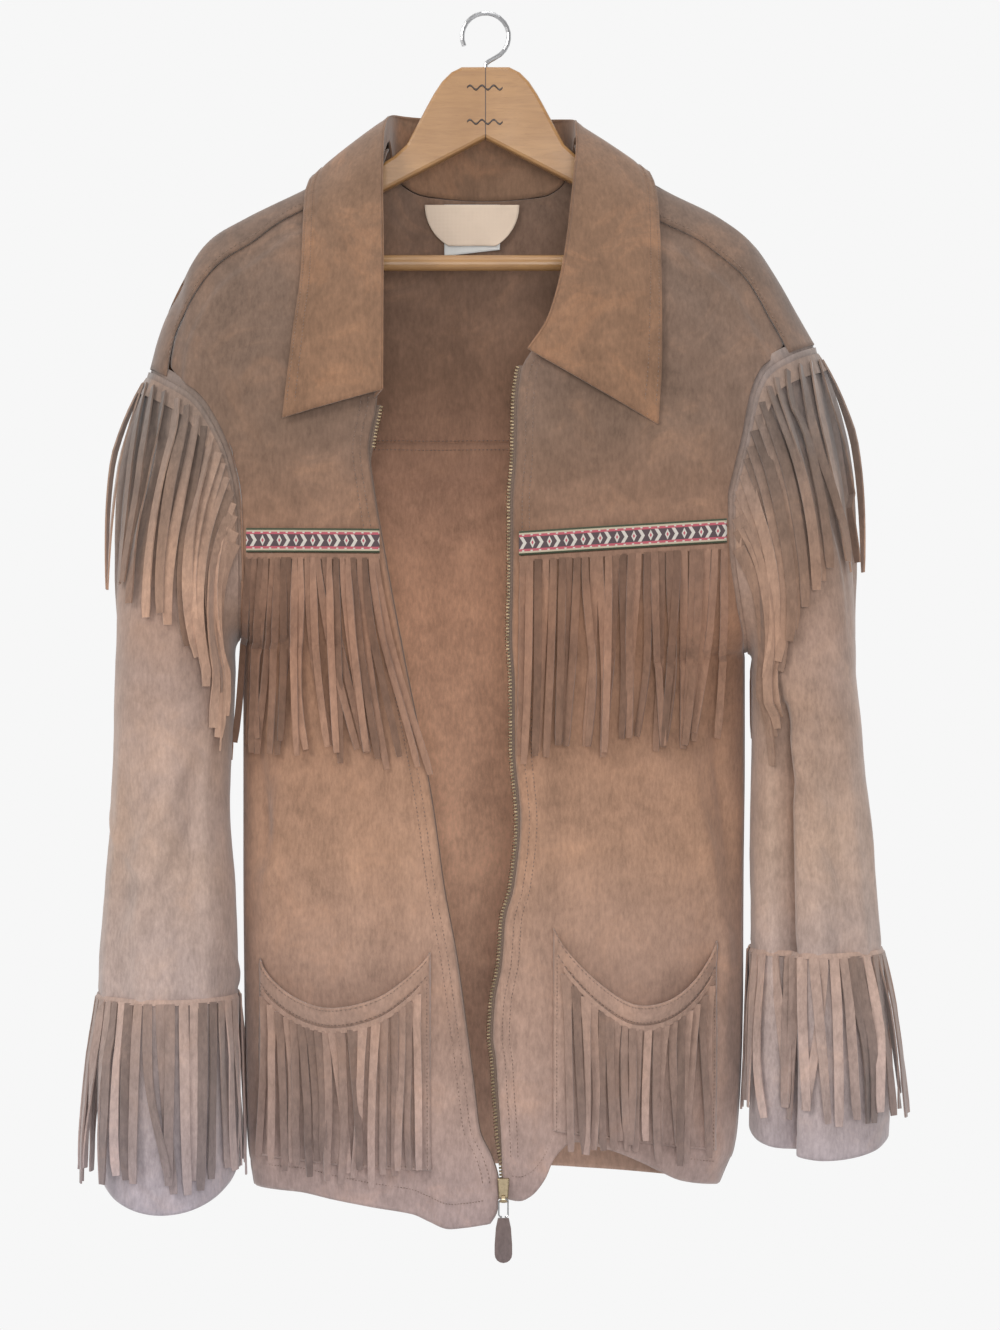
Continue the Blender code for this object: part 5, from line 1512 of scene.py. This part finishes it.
def cuffFringe(side):
    look = cuffLook
    shape = sleeveShape(side)
    hemMiddle, hemDrop = sleeveHem[side]
    ringTop, capShare = sleeveLook["ringTop"], sleeveLook["capShare"]

    def shareAt(angle, z):
        hem = hemMiddle - hemDrop * math.sin(math.radians(angle))
        return capShare + (1 - capShare) * (ringTop - z) / (ringTop - hem)

    def strip(u, low):
        angle = mix(look["end"], -look["end"], u) % 360
        rise = mix(1.2 * mm, look["lift"], low)
        return shape(angle, shareAt(angle, cuffSeam[side] - low * fringeLook["strip"]), rise)

    def hang(u, q, own):
        angle = mix(look["end"], -look["end"], u)
        z = cuffSeam[side] - fringeLook["strip"] * 0.7
        z -= q * (cuffFringeLength[side] + own["fall"] - fringeLook["strip"])
        outside = max(math.cos(math.radians(angle)), 0.0)
        turned = angle + ownSway(own, q) / (1.05 * mm)
        lift = look["lift"] + q * (2.5 * mm + look["flare"] * outside) + ownLift(own, q, 1.3 * mm)
        point = shape(turned % 360, min(shareAt(turned, z), 1.0), lift)
        point.z = z
        radians = math.radians(turned)
        out = Vector((side * math.cos(radians), -math.sin(radians), 0))
        return point, out, Vector((side * math.sin(radians), math.cos(radians), 0))

    return fringe(named("cuffFringe", side), nodeOf("cuff_fringe", side), strip, hang, sleeveOut(side),
                  finish["cuffStrands"], look)


pocketFringeLook = {
    "count": 19, "width": 6.0 * mm, "drift": 2.6 * mm, "sway": 1.6 * mm, "uneven": 8 * mm, "turn": 0.4,
    "share": 0.9, "inset": 0.05, "lift": 2.7 * mm, "tip": -0.015,
}


def pocketFringe(side):
    look = pocketFringeLook
    shape, topOf, lowOf = pocketShape(side)
    width = abs(pockets[side]["outer"] - pockets[side]["inner"]) * mm

    def downTo(u, below):
        return (topOf(u) - below - lowOf(u)) / (topOf(u) - lowOf(u))

    def strip(u, low):
        inset = mix(look["inset"], 1 - look["inset"], u)
        return shape(inset, downTo(inset, pocketLook["band"] + low * fringeLook["strip"]), look["lift"])

    def hang(u, q, own):
        inset = mix(look["inset"], 1 - look["inset"], u)
        start = downTo(inset, pocketLook["band"] + fringeLook["strip"] * 0.7)
        over = clamp(inset + ownSway(own, q) / width, 0.02, 0.98)
        lift = look["lift"] + 3.5 * mm * q + ownLift(own, q, 1.2 * mm)
        point = shape(over, mix(start, look["tip"], q), lift)
        point.z += own["fall"] * q - 3 * mm * q
        return point, Vector((0, -1, 0)), Vector((1, 0, 0))

    return fringe(named("pocketFringe", side), nodeOf("pocket_fringe", side), strip, hang, toFront,
                  finish["pocketStrands"], look)


fringes = {"back": backFringe()}
for side in (right, left):
    cloth["braid", side] = braid(side)
    fringes["chest", side] = chestFringe(side)
    fringes["armhole", side] = armholeFringe(side)
    fringes["cuff", side] = cuffFringe(side)
    fringes["pocket", side] = pocketFringe(side)
print("fringes are cut")


# zip: tapes and teeth; the slider and its pull are dressed with the hanger

zipLook = {"lift": -2.8 * mm, "pitch": 2.5 * mm, "tooth": (3.4 * mm, 2.2 * mm, 1.5 * mm), "inner": 7 * mm,
           "length": 0.60, "sliderTop": -334 * mm,
           right: {"top": -300 * mm, "low": -890 * mm}, left: {"top": -270 * mm, "low": -884 * mm}}
reaches = {
    right: table([(-925, 0.6), (-345, 0.6), (-328, 3.4), (-200, 3.4)]),
    left: table([(-925, 0.8), (-866, 0.8), (-840, 3.4), (-200, 3.4)]),
}


def zipLine(side):
    edge = route(scaled(frontEdge[side]))
    shares = [k / 400 for k in range(401) if zipLook[side]["low"] <= edge(k / 400)[1] <= zipLook[side]["top"]]

    def at(reach, v, lift=0.0):
        x, z = edge(mix(shares[0], shares[-1], v))
        if reach is None:
            reach = -reaches[side](z)
        return bodyPoint(x + side * reach, z, front, zipLook["lift"] + lift, soft=0.6)

    return at


def zipTape(side):
    line = zipLine(side)

    def at(u, v):
        edge, inside = line(None, v), line(zipLook["inner"], v)
        return mix(edge, inside, u)

    return clothPiece(named("zipTape", side), [(4, cells(200), at)], toFront, finish["tape"],
                      thickness=1 * mm, replaces=nodeOf("zip_tape", side))


def zipTeeth(side):
    line = zipLine(side)
    bm = bmesh.new()
    count = int(zipLook["length"] / zipLook["pitch"])
    wide, deep, high = zipLook["tooth"]
    for i in range(count):
        v = (i + 0.5) / count
        if side == right and line(None, v).z < zipLook["sliderTop"]:
            continue
        middle = line(None, v, -0.4 * mm)
        run = (line(None, min(v + 0.004, 1)) - line(None, max(v - 0.004, 0))).normalized()
        out = Vector((0, -1, 0))
        across = run.cross(out).normalized()
        corners = []
        for a in (-0.5, 0.5):
            for b in (-0.5, 0.5):
                for c in (-0.5, 0.5):
                    taper = 0.72 if b > 0 else 1.0
                    corner = middle + across * a * wide * taper + out * b * deep + run * c * high * taper
                    corners.append(bm.verts.new(corner))
        for ring in ((0, 1, 3, 2), (4, 6, 7, 5), (0, 4, 5, 1), (2, 3, 7, 6), (0, 2, 6, 4), (1, 5, 7, 3)):
            bm.faces.new([corners[k] for k in ring])
    bmesh.ops.recalc_face_normals(bm, faces=bm.faces)
    return onJacket(meshOf(named("zipTeeth", side), bm, finish["teeth"], smooth=False))


for side in (right, left):
    cloth["tape", side] = zipTape(side)
    fringes["teeth", side] = zipTeeth(side)


# seams between the body and the sleeves

armholeSeamLook = {"cells": (120, 6), "reach": (-8 * mm, 4 * mm), "depth": 2.6 * mm, "swell": 1.2 * mm,
                   "thickness": 0.8 * mm}


def armholeSeam(side):
    look = armholeSeamLook
    loop = armhole(side)
    centre = sum((loop(angle)[0] for angle in range(0, 360, 10)), Vector()) / 36

    def at(u, v):
        angle = u * 360
        start, away = loop(angle)
        run = (loop(angle + 2)[0] - loop(angle - 2)[0]).normalized()
        away = (away - run * away.dot(run)).normalized()
        inward = run.cross(away).normalized()
        if inward.dot(centre - start) < 0:
            inward = -inward
        sink = look["depth"] - look["swell"] * math.sin(math.pi * v)
        return start + away * mix(*look["reach"], v) + inward * sink

    around, across = look["cells"]
    return clothPiece(named("armholeSeam", side), [(cells(around), across, at)], sleeveOut(side),
                      finish["sleeve"], thickness=look["thickness"], weld=True)


for side in (right, left):
    fringes["seam", side] = armholeSeam(side)
print("zip and seams are in")


# labels

labels = {
    "neckLabel": {"node": "neck_label", "x": (-47, 26), "z": (-139, -170), "lift": 5.2, "round": 0.75,
                  "slant": 0, "finish": "label"},
    "careLabel": {"node": "care_label", "x": (-32, 11), "z": (-139, -178), "lift": 3.4, "round": 0.0,
                  "slant": 5, "finish": "care"},
}


def label(name):
    facts = labels[name]
    low, high = facts["x"]

    def at(u, v):
        wide = math.sqrt(1 - (1 - v) ** 2 * facts["round"])
        x = ((low + high) / 2 + (u - 0.5) * (high - low) * wide) * mm
        z = mix(facts["z"][1] + facts["slant"] * u, facts["z"][0], v) * mm
        curl = 1.2 * mm * math.sin(u * 5 + 1) * (1 - v) + 1.5 * mm * (1 - v) ** 2
        return bodyPoint(x, z, back, -facts["lift"] * mm - curl, soft=0.0)

    return clothPiece(name, [(cells(40), cells(20), at)], toFront, finish[facts["finish"]],
                      thickness=0.6 * mm, replaces=facts["node"])


for name in labels:
    cloth[name] = label(name)


# hanger: the part's own solids in wood and steel, and the joint's corrugated staples

def dress(node, name):
    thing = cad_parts[node]
    thing.data.materials.clear()
    thing.data.materials.append(finish[name])


for node, name in (("hanger_wood", "wood"), ("hanger_bar", "barWood"), ("hanger_hook", "steel"),
                   ("zip_slider", "sliderBrass"), ("zip_pull_wire", "steel"), ("zip_pull_tag", "tag")):
    dress(node, name)

stapleLook = {"heights": (-56 * mm, -82 * mm), "x": (-14 * mm, 13 * mm), "y": -6.05 * mm, "waves": 3.0,
              "swing": 1.6 * mm, "width": 1.6 * mm}


def staples():
    look = stapleLook
    bm = bmesh.new()
    for height in look["heights"]:
        before = None
        for k in range(49):
            t = k / 48
            x = mix(look["x"][0], look["x"][1], t)
            z = height + look["swing"] * math.sin(t * look["waves"] * 2 * math.pi)
            corners = [Vector((x, look["y"] + dy, z + dz)) for dy, dz in
                       ((0.3 * mm, -look["width"] / 2), (-0.1 * mm, -look["width"] / 2),
                        (-0.1 * mm, look["width"] / 2), (0.3 * mm, look["width"] / 2))]
            ring = [bm.verts.new(corner) for corner in corners]
            if before:
                for m in range(4):
                    bm.faces.new((before[m], before[(m + 1) % 4], ring[(m + 1) % 4], ring[m]))
            else:
                bm.faces.new(ring[::-1])
            before = ring
        bm.faces.new(before)
    bmesh.ops.recalc_face_normals(bm, faces=bm.faces)
    return onJacket(meshOf("hangerStaples", bm, finish["staple"]))


fringes["staples"] = staples()
print("labels and hanger are done")


# stitches

# two rows by the zip, one over the hem, one under the shoulder seam
def panelStitches(side):
    field, inner = frontField(side)
    rows = []
    for distance in fronts["zipRows"]:
        def at(t, distance=distance):
            x, z = inner(t)
            return bodyPoint(x + side * distance, z, front, -0.2 * mm), Vector((0, -1, 0))
        rows.append((at, 0.78, (0.04, 0.93)))

    def hem(t):
        x, z = field(0.03 + t * 0.94, 0)
        return bodyPoint(x, z + fronts["hemRows"][0], front, -0.2 * mm), Vector((0, -1, 0))

    rows.append((hem, 0.24))
    seam = route(scaled(shoulderSeam[side]))

    def shoulder(t):
        x, z = seam(mix(0.03, 0.97, t))
        return bodyPoint(x, z + 6 * mm, front, 0.1 * mm), Vector((0, -1, 0.5))

    rows.append((shoulder, 0.19))
    return stitchPiece(named("stitchesFront", side), rows)


def pocketStitches(side):
    shape, topOf, lowOf = pocketShape(side)
    out = Vector((0, -1, 0))
    rows = []
    for below in pocketLook["rows"]:
        def mouth(t, below=below):
            u = 0.02 + 0.96 * t
            v = 1 - below / (topOf(u) - lowOf(u))
            return shape(u, v, 0.75 * mm if below < pocketLook["band"] else 0.0), out
        rows.append((mouth, 0.15))
    for u in (0.02, 0.98):
        rows.append((lambda t, u=u: (shape(u, t * 0.97, -0.1 * mm), out), 0.155))
    rows.append((lambda t: (shape(0.02 + 0.96 * t, 0.015, -0.1 * mm), out), 0.13))
    return stitchPiece(named("stitchesPocket", side), rows)


def collarStitches():
    shape = collarShape()
    rows = []
    for distance in collarLook["edgeRows"]:
        def edge(t, distance=distance):
            u = mix(0.012, 0.988, t)
            v = 1 - distance / (0.078 / 0.55)
            rise = (shape(min(u + 0.003, 1), v) - shape(max(u - 0.003, 0), v)).cross(
                shape(u, min(v + 0.02, 1)) - shape(u, v - 0.02)).normalized() * collarSign
            return shape(u, v) + rise * 0.1 * mm, rise
        rows.append((edge, 0.80))
        for end in (0, 1):
            def point(t, distance=distance, end=end):
                off = distance / 0.78
                u = abs(end - off)
                v = mix(0.5, 1 - distance / (0.078 / 0.55), t)
                rise = (shape(min(u + 0.003, 1), v) - shape(max(u - 0.003, 0), v)).cross(
                    shape(u, min(v + 0.02, 1)) - shape(u, v - 0.02)).normalized() * collarSign
                return shape(u, v) + rise * 0.1 * mm, rise
            rows.append((point, 0.07))
    return stitchPiece("stitchesCollar", rows)


def backStitches():
    rows = []
    hemLine = route(scaled(backHem))

    def hem(t):
        x, z = hemLine(0.03 + 0.94 * t)
        return bodyPoint(x, z + fronts["hemRows"][0], back, 0.1 * mm), Vector((0, 1, 0))

    rows.append((hem, 0.36))
    span = armholeBack[right][3][0] + 12, armholeBack[left][3][0] - 12
    for z in (-322, -328):
        def yokeRow(t, z=z):
            return bodyPoint(mix(span[0], span[1], t) * mm, z * mm, back, 0.1 * mm), Vector((0, 1, 0))
        rows.append((yokeRow, 0.42))
    for z in (-320, -327):
        def inside(t, z=z):
            return bodyPoint(mix(-90, 90, t) * mm, z * mm, back, -wall - 2.9 * mm), Vector((0, -1, 0))
        rows.append((inside, 0.18))
    return stitchPiece("stitchesBack", rows)


stitches = {"collar": collarStitches(), "back": backStitches()}
for side in (right, left):
    stitches["front", side] = panelStitches(side)
    stitches["pocket", side] = pocketStitches(side)
print("stitches are sewn")


def declare():
    for side in (right, left):
        panel = named("front", side)


declare()


# the end

print("the scene is built")
